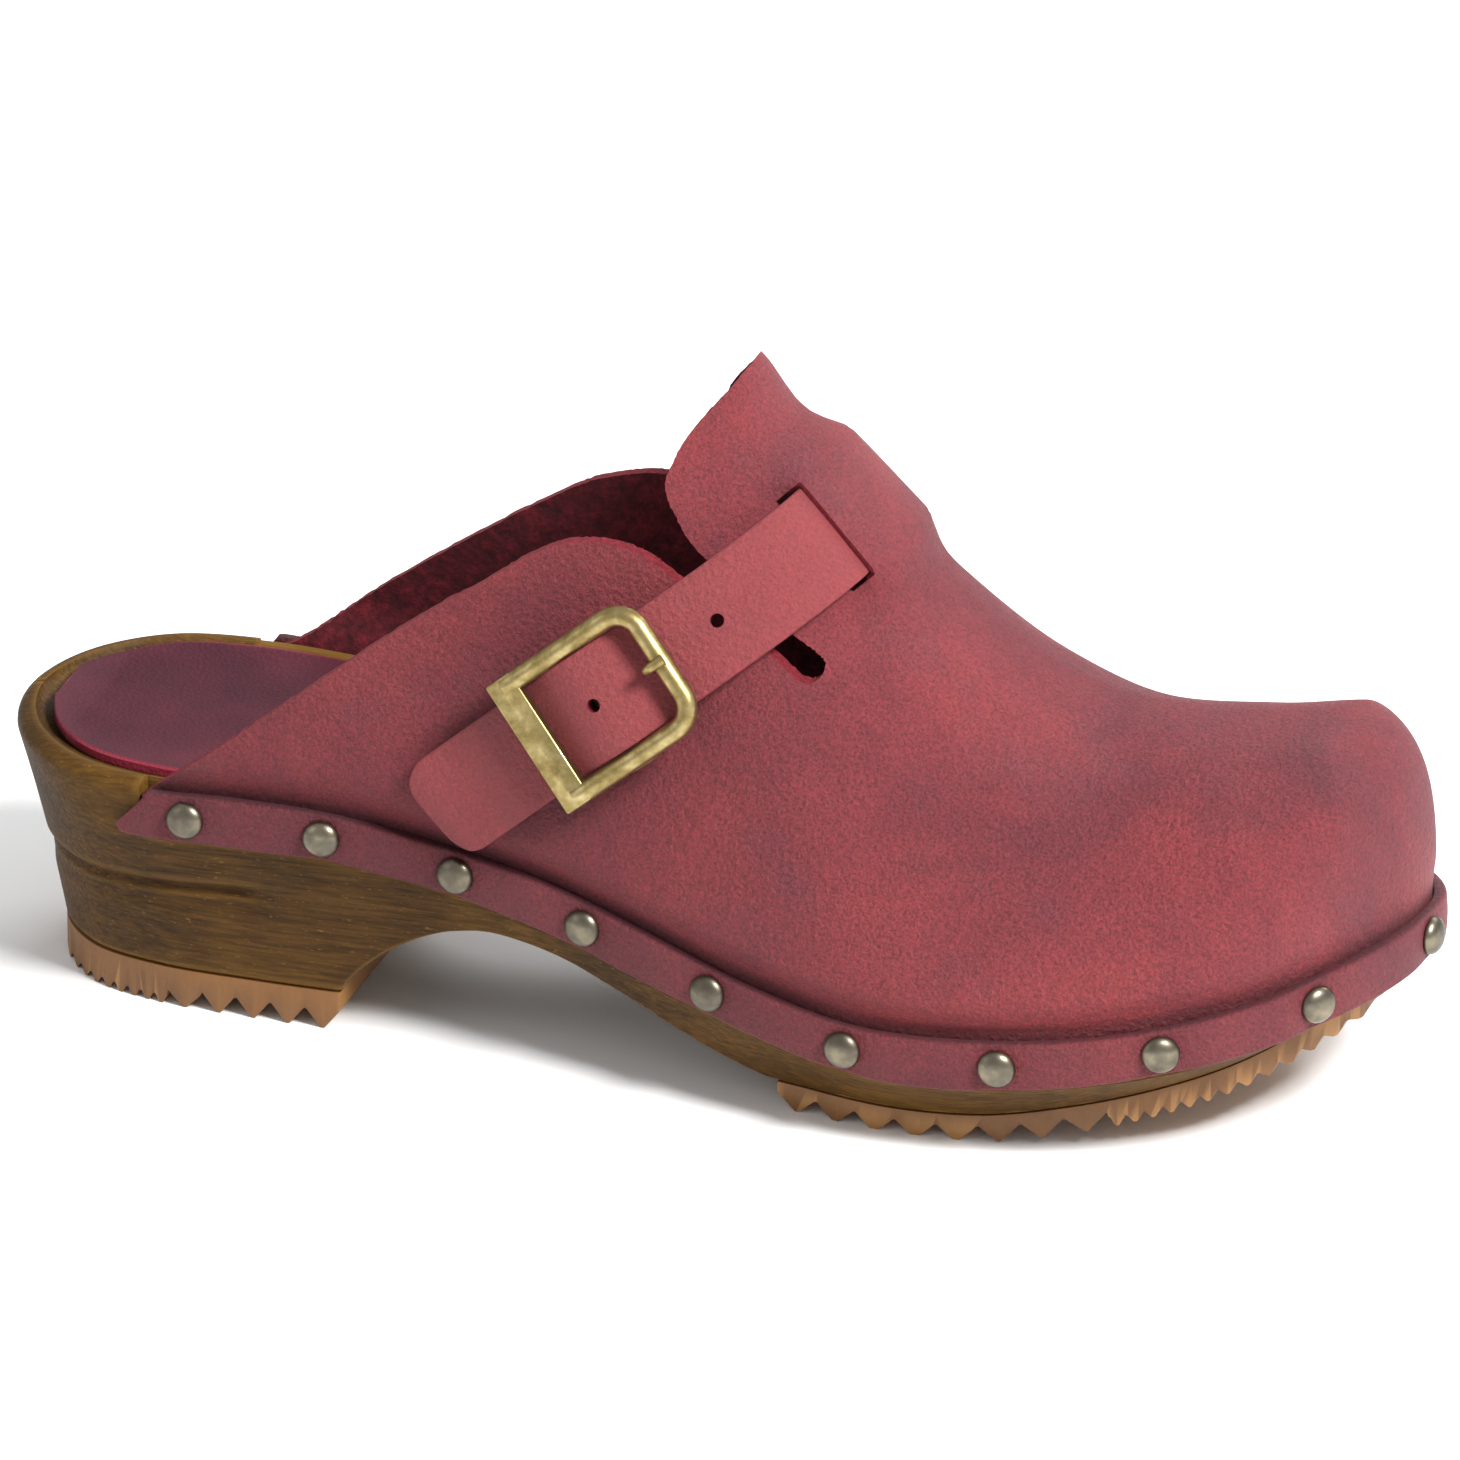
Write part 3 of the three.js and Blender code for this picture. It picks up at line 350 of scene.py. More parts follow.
def stained_alder():
    """Alder in a brown water stain, oiled: fine lengthwise grain, darker pores, rubbed rims."""
    material = new_material("stained_alder")
    place = node(material, "ShaderNodeTexCoord").outputs["Object"]
    stretched = node(material, "ShaderNodeMapping", [("Vector", place)], Scale=(0.12, 1, 1),
                     Rotation=(0.05, 0.06, 0.0)).outputs[0]
    rings = node(material, "ShaderNodeTexWave", [("Vector", stretched)], wave_type="BANDS",
                 bands_direction="Z", Scale=62.0, Distortion=9.0, Detail=3.0, Detail_Scale=1.3)
    fibre = node(material, "ShaderNodeTexNoise",
                 [("Vector", node(material, "ShaderNodeMapping", [("Vector", place)],
                                  Scale=(0.06, 1, 1)).outputs[0])],
                 Scale=1500.0, Detail=4.0, Roughness=0.65)
    blotch = noise(material, place, Scale=28.0, Detail=5.0, Roughness=0.6)
    pores = node(material, "ShaderNodeTexNoise",
                 [("Vector", node(material, "ShaderNodeMapping", [("Vector", place)],
                                  Scale=(0.3, 1, 1)).outputs[0])],
                 Scale=2300.0, Detail=2.0)
    colour = ramp(material, blotch.outputs["Fac"],
                  [(0.3, linear("342108")), (0.5, linear("4A300C")), (0.72, linear("5F4113"))])
    grain = ramp(material, rings.outputs["Fac"], [(0.0, grey(0.72)), (0.6, grey(1.0))])
    colour = mixed(material, 0.55, colour, grain, "MULTIPLY")
    threads = ramp(material, fibre.outputs["Fac"], [(0.34, grey(0.4)), (0.62, grey(1.25))])
    colour = mixed(material, 0.75, colour, threads, "MULTIPLY")
    pits = ramp(material, pores.outputs["Fac"], [(0.64, grey(0)), (0.76, grey(0.6))])
    colour = mixed(material, pits, colour, linear("7E6032"))
    edge = node(material, "ShaderNodeNewGeometry").outputs["Pointiness"]
    rubbed = ramp(material, edge, [(0.505, grey(0)), (0.56, grey(0.6))])
    colour = mixed(material, rubbed, colour, linear("7E5C28"))
    # Painted shade: concave places are darkened toward a near-black brown.
    hollow = ramp(material, edge, [(0.40, grey(0.85)), (0.485, grey(0))])
    colour = mixed(material, hollow, colour, linear("2B1C10"))
    rough = ramp(material, fibre.outputs["Fac"], [(0.3, grey(0.62)), (0.7, grey(0.48))])
    return finish_material(material, colour, rough, fibre.outputs["Fac"], 0.35, 0.8, IOR=1.5,
                           Specular_IOR_Level=0.15)


splits = np.arange(0.02, TOE, 0.05)
before = splits[splits < 2.9]
after = splits[splits > 2.96]
loops = np.concatenate([
    sole_loops(before, False), sole_loops([2.92], False), sole_loops([RABBET_START], True),
    sole_loops(after, True),
])
wood = mesh_piece("alder_sole", loops)
shade(wood, 40)
wood.data.materials.append(stained_alder())
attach(wood, "clog")
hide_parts("wooden_sole")

# ---- Rubber treads ------------------------------------------------------------------------
# Two pads of caramel rubber, cut from a ribbed sheet to the outline of the heel and the forepart
# and glued under the wood. The saw-tooth ribs run across, finer at the back and at the toe.


def underside_outline(step=0.1):
    station = np.arange(0, STATIONS, step)
    inset = smooth_rows(UNDERSIDE_INSET, sidewise(station))
    return beside_rim(station, inset, 0)[:, :2]


def prism(name, outline, low, high, along="Z"):
    """An outline in the plane square to an axis, extruded between two places on that axis."""
    loops = []
    for at in (low, high):
        rows = []
        for a, b in outline:
            rows.append((a, b, at) if along == "Z" else (a, at, b))
        loops.append(rows)
    loops = np.asarray(loops, float)
    size = len(outline)
    mesh = bpy.data.meshes.new(name)
    faces = [tuple(range(size)), tuple(range(2 * size - 1, size - 1, -1))]
    for j in range(size):
        k = (j + 1) % size
        faces.append((j, size + j, size + k, k))
    mesh.from_pydata((loops.reshape(-1, 3) * mm).tolist(), [], faces)
    piece = linked(name, mesh)
    tidy_mesh(piece)
    return piece


def cut(piece, tool, operation="DIFFERENCE"):
    """Cuts a piece with a tool, which is then thrown away."""
    apply_modifier(piece, "BOOLEAN", object=tool, operation=operation, solver="EXACT",
                   material_mode="TRANSFER")
    bpy.data.objects.remove(tool)


def soften(piece, width, degrees):
    """Rounds every edge of a piece that is sharper than an angle."""
    apply_modifier(piece, "BEVEL", width=width * mm, segments=2, limit_method="ANGLE",
                   angle_limit=math.radians(degrees))


def saw_teeth(x_places, depth_at, rise, flat):
    """The ribbed lower outline through places where the valleys lie."""
    rows = []
    for x0, x1 in zip(x_places[:-1], x_places[1:]):
        crest = (x0 + x1) / 2
        depth = depth_at(crest)
        top = rise(crest)
        rows += [(x0, rise(x0) + depth), (x0 + 0.25, rise(x0) + depth)]
        rows += [(crest - flat, top + 0.08), (crest - flat / 2, top), (crest + flat / 2, top),
                 (crest + flat, top + 0.08)]
        rows.append((x1 - 0.25, rise(x1) + depth_at(crest)))
    return rows


def caramel_rubber():
    """Translucent caramel crepe rubber: even colour, a soft sheen, painted shade in the low places.
    """
    material = new_material("caramel_crepe_rubber")
    place = node(material, "ShaderNodeTexCoord").outputs["Object"]
    cloud = noise(material, place, Scale=60.0, Detail=4.0)
    fine = noise(material, place, Scale=1400.0, Detail=3.0)
    colour = ramp(material, cloud.outputs["Fac"],
                  [(0.3, linear("5E3A15")), (0.55, linear("71481E")), (0.75, linear("815628"))])
    edge = node(material, "ShaderNodeNewGeometry").outputs["Pointiness"]
    # Painted shade: concave places are darkened toward a dark brown.
    painted_shade_in_hollows = ramp(material, edge, [(0.38, grey(0.6)), (0.49, grey(0))])
    colour = mixed(material, painted_shade_in_hollows, colour, linear("4A2C12"))
    rubbed = ramp(material, edge, [(0.52, grey(0)), (0.62, grey(0.6))])
    colour = mixed(material, rubbed, colour, linear("B08048"))
    rough = ramp(material, fine.outputs["Fac"], [(0.3, grey(0.5)), (0.7, grey(0.66))])
    return finish_material(material, colour, rough, fine.outputs["Fac"], 0.08, 0.5, IOR=1.52)


rubber = caramel_rubber()
fine_places = np.concatenate([np.linspace(-130, -94, 14), np.linspace(-94, -61.3, 6)[1:]])
front_places = np.concatenate([np.linspace(22, 82, 9), np.linspace(82, 129, 17)[1:]])


def heel_depth(x):
    return float(np.interp(x, [-130, -95, -88], [1.3, 1.5, 3.4]))


def front_depth(x):
    return float(np.interp(x, [24, 78, 86, 129], [2.9, 2.9, 1.5, 1.3]))


def front_rise(x):
    return float(smooth_rows(SPRING, x))


for name, places, depth_at, rise, top, cad in (
    ("heel_tread_rubber", fine_places, heel_depth, lambda x: 0.0, 7.2, "heel_tread"),
    ("forepart_tread_rubber", front_places, front_depth, front_rise, 5.0, "forepart_tread"),
):
    teeth = saw_teeth(places, depth_at, rise, 0.35)
    upper_edge = [(x, rise(x) + top) for x in np.linspace(places[-1], places[0], 40)]
    slab = prism(name, teeth + upper_edge, -60, 60, along="Y")
    cut(slab, prism("outline", underside_outline(), 0, 60), "INTERSECT")
    tidy_mesh(slab)
    soften(slab, 0.18, 40)
    shade(slab, 30)
    slab.data.materials.clear()
    slab.data.materials.append(rubber)
    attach(slab, "clog")
    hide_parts(cad)

# ---- Insole sock --------------------------------------------------------------------------
# A thin sheet of burgundy lining leather, cut 6.5 mm smaller than the sole and glued into the
# hollow of the bed.


def insole_leather():
    """Drum-dyed lining leather: plum brown, fine pebble grain, a brighter red at its rim."""
    material = new_material("burgundy_lining_leather")
    place = node(material, "ShaderNodeTexCoord").outputs["Object"]
    cloud = noise(material, place, Scale=35.0, Detail=5.0)
    cells = node(material, "ShaderNodeTexVoronoi", [("Vector", place)], Scale=1300.0)
    pebble = noise(material, place, Scale=1900.0, Detail=3.0)
    colour = ramp(material, cloud.outputs["Fac"],
                  [(0.3, linear("3A1420")), (0.5, linear("4A1B27")), (0.72, linear("5A2230"))])
    tint = ramp(material, pebble.outputs["Fac"], [(0.35, grey(0.8)), (0.65, grey(1.1))])
    colour = mixed(material, 0.6, colour, tint, "MULTIPLY")
    edge = node(material, "ShaderNodeNewGeometry").outputs["Pointiness"]
    rim = ramp(material, edge, [(0.53, grey(0)), (0.6, grey(0.8))])
    colour = mixed(material, rim, colour, linear("9A2C3E"))
    return finish_material(material, colour, 0.68, cells.outputs["Distance"], 0.2, 0.6, IOR=1.45,
                           Specular_IOR_Level=0.25)


SOCK_INSET = 6.5
stations = np.arange(0.5, TOE - 0.15, 0.05)
lateral = beside_rim(stations, SOCK_INSET, 0)
medial = beside_rim(STATIONS - stations, SOCK_INSET, 0)
bed_a = beside_rim(stations, np.where(stations < RABBET_START, BED_INSET, RABBET), 0)
bed_b = beside_rim(STATIONS - stations, np.where(stations < RABBET_START, BED_INSET, RABBET), 0)
bed_width = np.linalg.norm(bed_a - bed_b, axis=1)
side_share = np.clip((SOCK_INSET - 3.25) / bed_width, 0, 0.45)
rows_over, rows_under = [], []
for share in np.linspace(0, 1, 61):
    point = medial + (lateral - medial) * share
    sink = bed_sink(side_share + share * (1 - 2 * side_share)) * np.minimum(1, bed_width / 40)
    from_edge = np.minimum(share, 1 - share) * bed_width
    soft = 0.55 * (1 - np.sqrt(np.clip(from_edge / 0.8, 0, 1)))
    over, under = point.copy(), point.copy()
    over[:, 2] += 2.1 - sink - soft
    under[:, 2] += 0.15 - sink
    rows_over.append(over)
    rows_under.append(under)
insole = mesh_piece("lining_leather_insole", np.stack(rows_under + rows_over[::-1], 1))
shade(insole, 60)
insole.data.materials.append(insole_leather())
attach(insole, "clog")
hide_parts("insole_sock")

# ---- Leather upper ------------------------------------------------------------------------
# One piece of thick unlined nubuck, moulded over the last, nailed into the rabbet: a vamp, a
# pointed flap and two quarters. Its cut edges and its suede flesh side are left raw.

CREST = np.array([
    (-92, 0, 118, 2.3), (-74, 0, 124, 2.3), (-57, 0, 129, 2.3), (-39, 1, 132, 2.2),
    (-20, 2, 131, 1.9), (-3, 3, 128, 1.6), (13, 3, 114.5, 1.5), (31, 3, 95.5, 1.42),
    (50, 3, 78.5, 1.45), (70, 3, 68.5, 1.7), (90, 4, 67.5, 2.5), (107, 6, 70, 3.6),
], float)
POLE = UPPER_START + len(CREST) - 1
SQUARENESS = [(UPPER_START + i, row[3]) for i, row in enumerate(CREST)]


def crest_point(station):
    return through(CREST[:, :3], np.minimum(station, POLE) - UPPER_START)


def upper_point(station, rise):
    """Points on the outside of the upper: rise 0 is on the rim and 1 on the crest."""
    station = np.atleast_1d(np.asarray(station, float))
    rise = np.broadcast_to(np.asarray(rise, float), station.shape)
    side = sidewise(station)
    base = beside_rim(station, 0.3, 0)
    top = crest_point(side)
    power = smooth_rows(SQUARENESS, np.minimum(side, POLE))
    angle = rise * math.pi / 2
    wide = np.clip(np.cos(angle), 0, 1) ** (2 / power)
    high = np.clip(np.sin(angle), 0, 1) ** (2 / power)
    point = top + (base - top) * wide[:, None]
    point[:, 2] = base[:, 2] + (top[:, 2] - base[:, 2]) * high
    low = high * (top[:, 2] - base[:, 2])
    most = 3 + (0.6 - 3) * smoothstep(side, 12.5, 15)
    swell = most * smoothstep(low, 0, 7) * (1 - smoothstep(low, 7, 38))
    return point + outward_at(station) * swell[:, None]


def upper_normal(station, rise):
    station = np.atleast_1d(np.asarray(station, float))
    rise = np.broadcast_to(np.asarray(rise, float), station.shape)
    along = upper_point(station + 0.05, rise) - upper_point(station - 0.05, rise)
    up = upper_point(station, np.minimum(rise + 0.005, 1)) - upper_point(
        station, np.maximum(rise - 0.005, 0))
    out = np.cross(along, up)
    return out / np.linalg.norm(out, axis=1)[:, None]


# The strap's run round the instep: distances are measured from the buckle's pin
STRAP_TILT = 0.675
BUCKLE_X, BUCKLE_Z = -9.8, 72.4
RUN = np.array([math.cos(STRAP_TILT), 0, math.sin(STRAP_TILT)])
STRAP_WIDTH = 19.0
STRAP_THICK = 2.4
SLOT = 47.0
SWELLING = 3.4


def off_strap_plane(point):
    return (point[:, 0] - BUCKLE_X) * RUN[2] - (point[:, 2] - BUCKLE_Z) * RUN[0]


def halved(value, low, high, count=40):
    """The place between low and high where a rising function passes nought."""
    low, high = np.array(low, float), np.array(high, float)
    for _ in range(count):
        middle = (low + high) / 2
        above = value(middle) > 0
        low = np.where(above, middle, low)
        high = np.where(above, high, middle)
    return low


crest_station = float(
    halved(lambda k: -off_strap_plane(upper_point(k, 1)), [UPPER_START], [POLE])[0])
shares = (np.arange(1, 25) / 24) ** 2
lateral_stations = crest_station - (crest_station - 5.7) * shares
line_points, line_normals = [], []
for lateral_side in (True, False):
    found = lateral_stations if lateral_side else STATIONS - lateral_stations
    rises = halved(lambda r: off_strap_plane(upper_point(found, r)), 0 * found, 0 * found + 1)
    points, normals = upper_point(found, rises), upper_normal(found, rises)
    if lateral_side:
        line_points += list(points[::-1]) + [upper_point(crest_station, 1)[0]]
        line_normals += list(normals[::-1]) + [RUN]
    else:
        line_points += list(points)
        line_normals += list(normals)
line_points, line_normals = np.array(line_points), np.array(line_normals)


def centripetal(points, steps):
    """Dense points on the centripetal curve through the given ones, and their places."""
    ends = [2 * points[0] - points[1], *points, 2 * points[-1] - points[-2]]
    rows, places = [], []
    for i in range(len(points) - 1):
        p = ends[i:i + 4]
        d = [max(np.sum((p[k + 1] - p[k]) ** 2) ** 0.25, 1e-4) for k in range(3)]
        t1 = (p[1] - p[0]) / d[0] - (p[2] - p[0]) / (d[0] + d[1]) + (p[2] - p[1]) / d[1]
        t2 = (p[2] - p[1]) / d[1] - (p[3] - p[1]) / (d[1] + d[2]) + (p[3] - p[2]) / d[2]
        t1, t2 = t1 * d[1], t2 * d[1]
        for t in np.arange(steps) / steps:
            rows.append(p[1] + t1 * t + (-3 * p[1] + 3 * p[2] - 2 * t1 - t2) * t**2
                        + (2 * p[1] - 2 * p[2] + t1 + t2) * t**3)
            places.append(i + t)
    rows.append(points[-1])
    places.append(len(points) - 1)
    return np.array(rows), np.array(places)


dense, dense_places = centripetal(line_points, 60)
run_lengths = np.concatenate([[0], np.cumsum(np.linalg.norm(np.diff(dense, axis=0), axis=1))])
pin_at = run_lengths[np.argmax(dense[:, 2] >= BUCKLE_Z)]
crest_from_pin = run_lengths[np.argmax(dense[:, 1] >= line_points[24][1])] - pin_at
MEDIAL_SLOT = 2 * crest_from_pin - SLOT
ANCHOR_END = MEDIAL_SLOT + 32
HIDDEN = SWELLING - LEATHER - 0.3 - STRAP_THICK / 2
LIFTS = [(-40, 2.05), (-30, 2.3), (-22, 3.3), (-15, 4.35), (-9.5, 5), (-5, 7.1), (0, 7.95),
         (5, 6.9), (10.7, 4.1), (15, 3.6), (21, 2.9), (28, 2.4), (SLOT - 8, 2.1), (SLOT, 1.6),
         (SLOT + 5, HIDDEN), (MEDIAL_SLOT - 5, HIDDEN), (MEDIAL_SLOT, 1.6), (MEDIAL_SLOT + 6, 2.1),
         (ANCHOR_END, 2.1)]


def on_line(distance):
    """Points and normals of the upper along the strap's run."""
    length = np.clip(pin_at + np.asarray(distance, float), 0, run_lengths[-1])
    point = np.stack([np.interp(length, run_lengths, dense[:, k]) for k in range(3)], 1)
    place = np.interp(length, run_lengths, dense_places)
    normal = np.stack([np.interp(place, np.arange(len(line_normals)), line_normals[:, k])
                       for k in range(3)], 1)
    return point, normal / np.linalg.norm(normal, axis=1)[:, None]


def strap_frame(distance):
    """Places, run, width and outward directions of the strap."""
    distance = np.atleast_1d(np.asarray(distance, float))

    def at(where):
        point, normal = on_line(where)
        return point + normal * smooth_rows(LIFTS, where)[:, None]

    along = at(distance + 0.5) - at(distance - 0.5)
    along /= np.linalg.norm(along, axis=1)[:, None]
    across = np.cross(along, on_line(distance)[1])
    across /= np.linalg.norm(across, axis=1)[:, None]
    return at(distance), along, across, np.cross(across, along)


def near_strap(points):
    """Each point's distance along the strap's run and beside its middle."""
    marks = np.arange(-45, ANCHOR_END + 5, 0.5)
    line, _ = on_line(marks)
    _, _, across, _ = strap_frame(marks)
    nearest = np.empty(len(points), int)
    for i in range(0, len(points), 4000):
        part = points[i:i + 4000]
        away = ((part[:, None, :] - line[None]) ** 2).sum(2)
        nearest[i:i + 4000] = away.argmin(1)
    along = marks[nearest]
    beside = ((points - line[nearest]) * across[nearest]).sum(1)
    return along, beside


stations = np.linspace(UPPER_START - 0.04, STATIONS - UPPER_START + 0.04, 261)
rises = np.concatenate([[0.01, 0.025], np.linspace(0.045, 0.9, 66), np.linspace(0.9, 1, 14)[1:]])
margins = [beside_rim(stations, 0.3, drop) for drop in (9.0, 6.5, 4, 2, 0.7, 0)]
grid = np.stack(margins + [upper_point(stations, rise) for rise in rises], 1)
rows, columns, _ = grid.shape

half_rows = (rows + 1) // 2
over = np.concatenate([grid[:half_rows], grid[::-1][:half_rows, ::-1][:, 1:]], 1)
reach = np.abs(np.arange(2 * columns - 1) - (columns - 1))
rounding = 0.5 * (1 - smoothstep(reach, 8, 22))[None, 1:-1, None]
for _ in range(90):
    over[:, 1:-1] += rounding * (0.5 * (over[:, :-2] + over[:, 2:]) - over[:, 1:-1])
for _ in range(30):
    along_pull = 0.5 * (over[:-2, 1:-1] + over[2:, 1:-1]) - over[1:-1, 1:-1]
    over[1:-1, 1:-1] += 0.6 * rounding * along_pull
middle_row = half_rows - 1
over[middle_row, columns:] = over[middle_row, :columns - 1][::-1]
pole_rows = stations[:half_rows] > POLE
over[pole_rows, columns - 1] = over[pole_rows, columns - 1].mean(0)
grid[:half_rows] = over[:, :columns]
grid[half_rows - 1:] = over[:, columns - 1:][::-1, ::-1]

# The flap's tip is drawn up to a point
tip_pull = 4.6 * np.exp(-((grid[:, :, 0] - 5) / 4.6) ** 2 - ((grid[:, :, 1] - 3) / 11) ** 2)
grid[:, :, 2] += tip_pull * smoothstep(grid[:, :, 2], 100, 112)

run_along = np.gradient(grid, axis=0)
run_up = np.gradient(grid, axis=1)
run_up[:, -1] = grid[::-1, -2] - grid[:, -2]
normals = np.cross(run_along, run_up)
normals /= np.maximum(np.linalg.norm(normals, axis=2, keepdims=True), 1e-9)
fan = (stations > POLE - 0.05) & (stations < STATIONS - POLE + 0.05)
normals[fan, -1] = normals[fan, -3].mean(0)
for _ in range(3):
    normals[1:-1, 1:-1] = (normals[1:-1, 1:-1] * 2 + normals[:-2, 1:-1] + normals[2:, 1:-1]
                           + normals[1:-1, :-2] + normals[1:-1, 2:])
    normals /= np.maximum(np.linalg.norm(normals, axis=2, keepdims=True), 1e-9)
both = normals[:, -1] + normals[::-1, -1]
normals[:, -1] = both / np.linalg.norm(both, axis=1)[:, None]

flat_points = grid.reshape(-1, 3)
along, beside = near_strap(flat_points)
past_edge = smoothstep(np.abs(beside), STRAP_WIDTH / 2 + 0.3, STRAP_WIDTH / 2 + 3)
from_slot = np.minimum(along - SLOT, MEDIAL_SLOT - along)
inside_run = np.where(past_edge > 0,
                      smoothstep(from_slot, 0.2 - 5 * past_edge, 1.4 + 6 * past_edge),
                      smoothstep(from_slot, 0.2, 1.4))
inside_width = 1 - smoothstep(np.abs(beside), STRAP_WIDTH / 2 - 0.6, STRAP_WIDTH / 2 + 10)
swell = (SWELLING * inside_run * inside_width).reshape(rows, columns)
pinch = np.exp(-((along - (SLOT - 1)) / 3) ** 2) + np.exp(-((along - (MEDIAL_SLOT + 1)) / 3) ** 2)
pinch = 0.7 * pinch * (np.abs(beside) < 16) * smoothstep(16 - np.abs(beside), 0, 7)
pinch = pinch.reshape(rows, columns)
wave = np.sin(flat_points[:, 0] / 17 + flat_points[:, 2] / 23) * np.sin(flat_points[:, 1] / 19 + 1)
soft = (0.35 * wave).reshape(rows, columns)
soft[:, :9] = 0
outer = grid + normals * (swell - pinch * (swell < 1) * 0.8 + soft)[:, :, None]
inner = outer - normals * LEATHER


def shell_piece(name, outer, inner):
    """A closed sheet between two grids; faces are marked 0 outside, 1 inside, 2 on the edge."""
    rows, columns, _ = outer.shape
    size = rows * columns
    verts = np.concatenate([outer.reshape(-1, 3), inner.reshape(-1, 3)]) * mm
    faces, marks = [], []
    for i in range(rows - 1):
        for j in range(columns - 1):
            a, b, c, d = (i * columns + j, (i + 1) * columns + j, (i + 1) * columns + j + 1,
                          i * columns + j + 1)
            faces += [(a, b, c, d), (a + size, d + size, c + size, b + size)]
            marks += [0, 1]
    for j in range(columns - 1):
        for i, turn in ((0, 1), (rows - 1, -1)):
            a, b = i * columns + j, i * columns + j + 1
            faces.append((a, b, b + size, a + size)[::turn])
            marks.append(2)
    for i in range(rows - 1):
        a, b = i * columns, (i + 1) * columns
        faces.append((a + size, b + size, b, a))
        marks.append(2)
    mesh = bpy.data.meshes.new(name)
    mesh.from_pydata(verts.tolist(), [], faces)
    mesh.polygons.foreach_set("material_index", np.array(marks, np.int32))
    piece = linked(name, mesh)
    return piece


def nubuck(name, painted_light_share=0.0, painted_light_colour="3E1A24"):
    """Oiled nubuck: wine red with cloudy purple bloom, short nap, tiny pores and light scuffs."""
    material = new_material(name)
    place = node(material, "ShaderNodeTexCoord").outputs["Object"]
    cloud = noise(material, place, Scale=19.0, Detail=6.0, Roughness=0.62, Distortion=0.6)
    patch = noise(material, place, Scale=52.0, Detail=5.0, Roughness=0.6)
    nap = noise(material, place, Scale=1900.0, Detail=4.0, Roughness=0.7)
    pores = node(material, "ShaderNodeTexVoronoi", [("Vector", place)], Scale=820.0,
                 Randomness=1.0)
    colour = ramp(material, cloud.outputs["Fac"],
                  [(0.30, linear("561E25")), (0.45, linear("662128")), (0.56, linear("71252A")),
                   (0.72, linear("7E2A2D"))])
    bloom = ramp(material, patch.outputs["Fac"], [(0.52, grey(0)), (0.74, grey(0.42))])
    colour = mixed(material, bloom, colour, linear("522B33"))
    tooth = ramp(material, nap.outputs["Fac"], [(0.37, grey(0.55)), (0.50, grey(1.0)),
                                                (0.63, grey(1.42))])
    colour = mixed(material, 0.8, colour, tooth, "MULTIPLY")
    pits = ramp(material, pores.outputs["Distance"], [(0.06, grey(0.8)), (0.16, grey(0))])
    colour = mixed(material, pits, colour, linear("4A1520"))
    edge = node(material, "ShaderNodeNewGeometry").outputs["Pointiness"]
    rubbed = ramp(material, edge, [(0.53, grey(0)), (0.64, grey(0.6))])
    colour = mixed(material, rubbed, colour, linear("8C2A35"))
    # Painted light and shade: one part's copy of the leather is shifted toward another colour,
    # lighter for the strap and darker for the band.
    if painted_light_share:
        colour = mixed(material, painted_light_share, colour, linear(painted_light_colour))
    # Painted shade: points marked near the crease between band and upper are darkened almost to
    # black.
    crease = node(material, "ShaderNodeAttribute", attribute_name="crease").outputs["Fac"]
    colour = mixed(material, crease, colour, linear("260A10"))
    height = mixed(material, 0.35, nap.outputs["Fac"], pores.outputs["Distance"])
    rough = ramp(material, cloud.outputs["Fac"], [(0.3, grey(0.66)), (0.7, grey(0.50))])
    return finish_material(material, colour, rough, height, 0.7, 1.0, IOR=1.45,
                           Specular_IOR_Level=0.42, Sheen_Weight=0.08, Sheen_Roughness=0.45,
                           Sheen_Tint=linear("E0A0A8"))


def suede_flesh():
    """The flesh side: deep crimson split suede, with loose clumps of fibre and dark hollows."""
    material = new_material("suede_flesh_side")
    place = node(material, "ShaderNodeTexCoord").outputs["Object"]
    clump = noise(material, place, Scale=420.0, Detail=6.0, Roughness=0.7)
    cloud = noise(material, place, Scale=45.0, Detail=4.0)
    colour = ramp(material, clump.outputs["Fac"],
                  [(0.32, linear("2A070D")), (0.5, linear("4E0E17")), (0.7, linear("731D27"))])
    tint = ramp(material, cloud.outputs["Fac"], [(0.3, grey(0.75)), (0.7, grey(1.1))])
    colour = mixed(material, 0.7, colour, tint, "MULTIPLY")
    return finish_material(material, colour, 0.92, clump.outputs["Fac"], 0.9, 0.8, IOR=1.4,
                           Sheen_Weight=0.15, Sheen_Roughness=0.6, Sheen_Tint=linear("B04050"))


def raw_edge():
    """A knife-cut leather edge: bright crimson core with fibres standing out of it."""
    material = new_material("raw_cut_leather_edge")
    place = node(material, "ShaderNodeTexCoord").outputs["Object"]
    fibre = noise(material, place, Scale=1500.0, Detail=5.0, Roughness=0.75)
    colour = ramp(material, fibre.outputs["Fac"],
                  [(0.3, linear("470A14")), (0.5, linear("6C1420")), (0.72, linear("942C37"))])
    return finish_material(material, colour, 0.9, fibre.outputs["Fac"], 0.5, 0.8, IOR=1.4)


vamp_leather = nubuck("oiled_nubuck")
flesh = suede_flesh()
cut_edge = raw_edge()


def mark_crease_shade(piece, line, near, far, most):
    """Marks the points of a piece that lie near a line, for painted shade in the crease there."""
    tree = KDTree(len(line))
    for i, point in enumerate(line):
        tree.insert(Vector(point) * mm, i)
    tree.balance()
    away = np.array([tree.find(vertex.co)[2] / mm for vertex in piece.data.vertices])
    marks = piece.data.attributes.new("crease", "FLOAT", "POINT")
    marks.data.foreach_set("value", (most * (1 - smoothstep(away, near, far))).astype(np.float32))


upper = shell_piece("nubuck_upper", outer, inner)
for material in (vamp_leather, flesh, cut_edge):
    upper.data.materials.append(material)
tidy_mesh(upper, 0.00002)

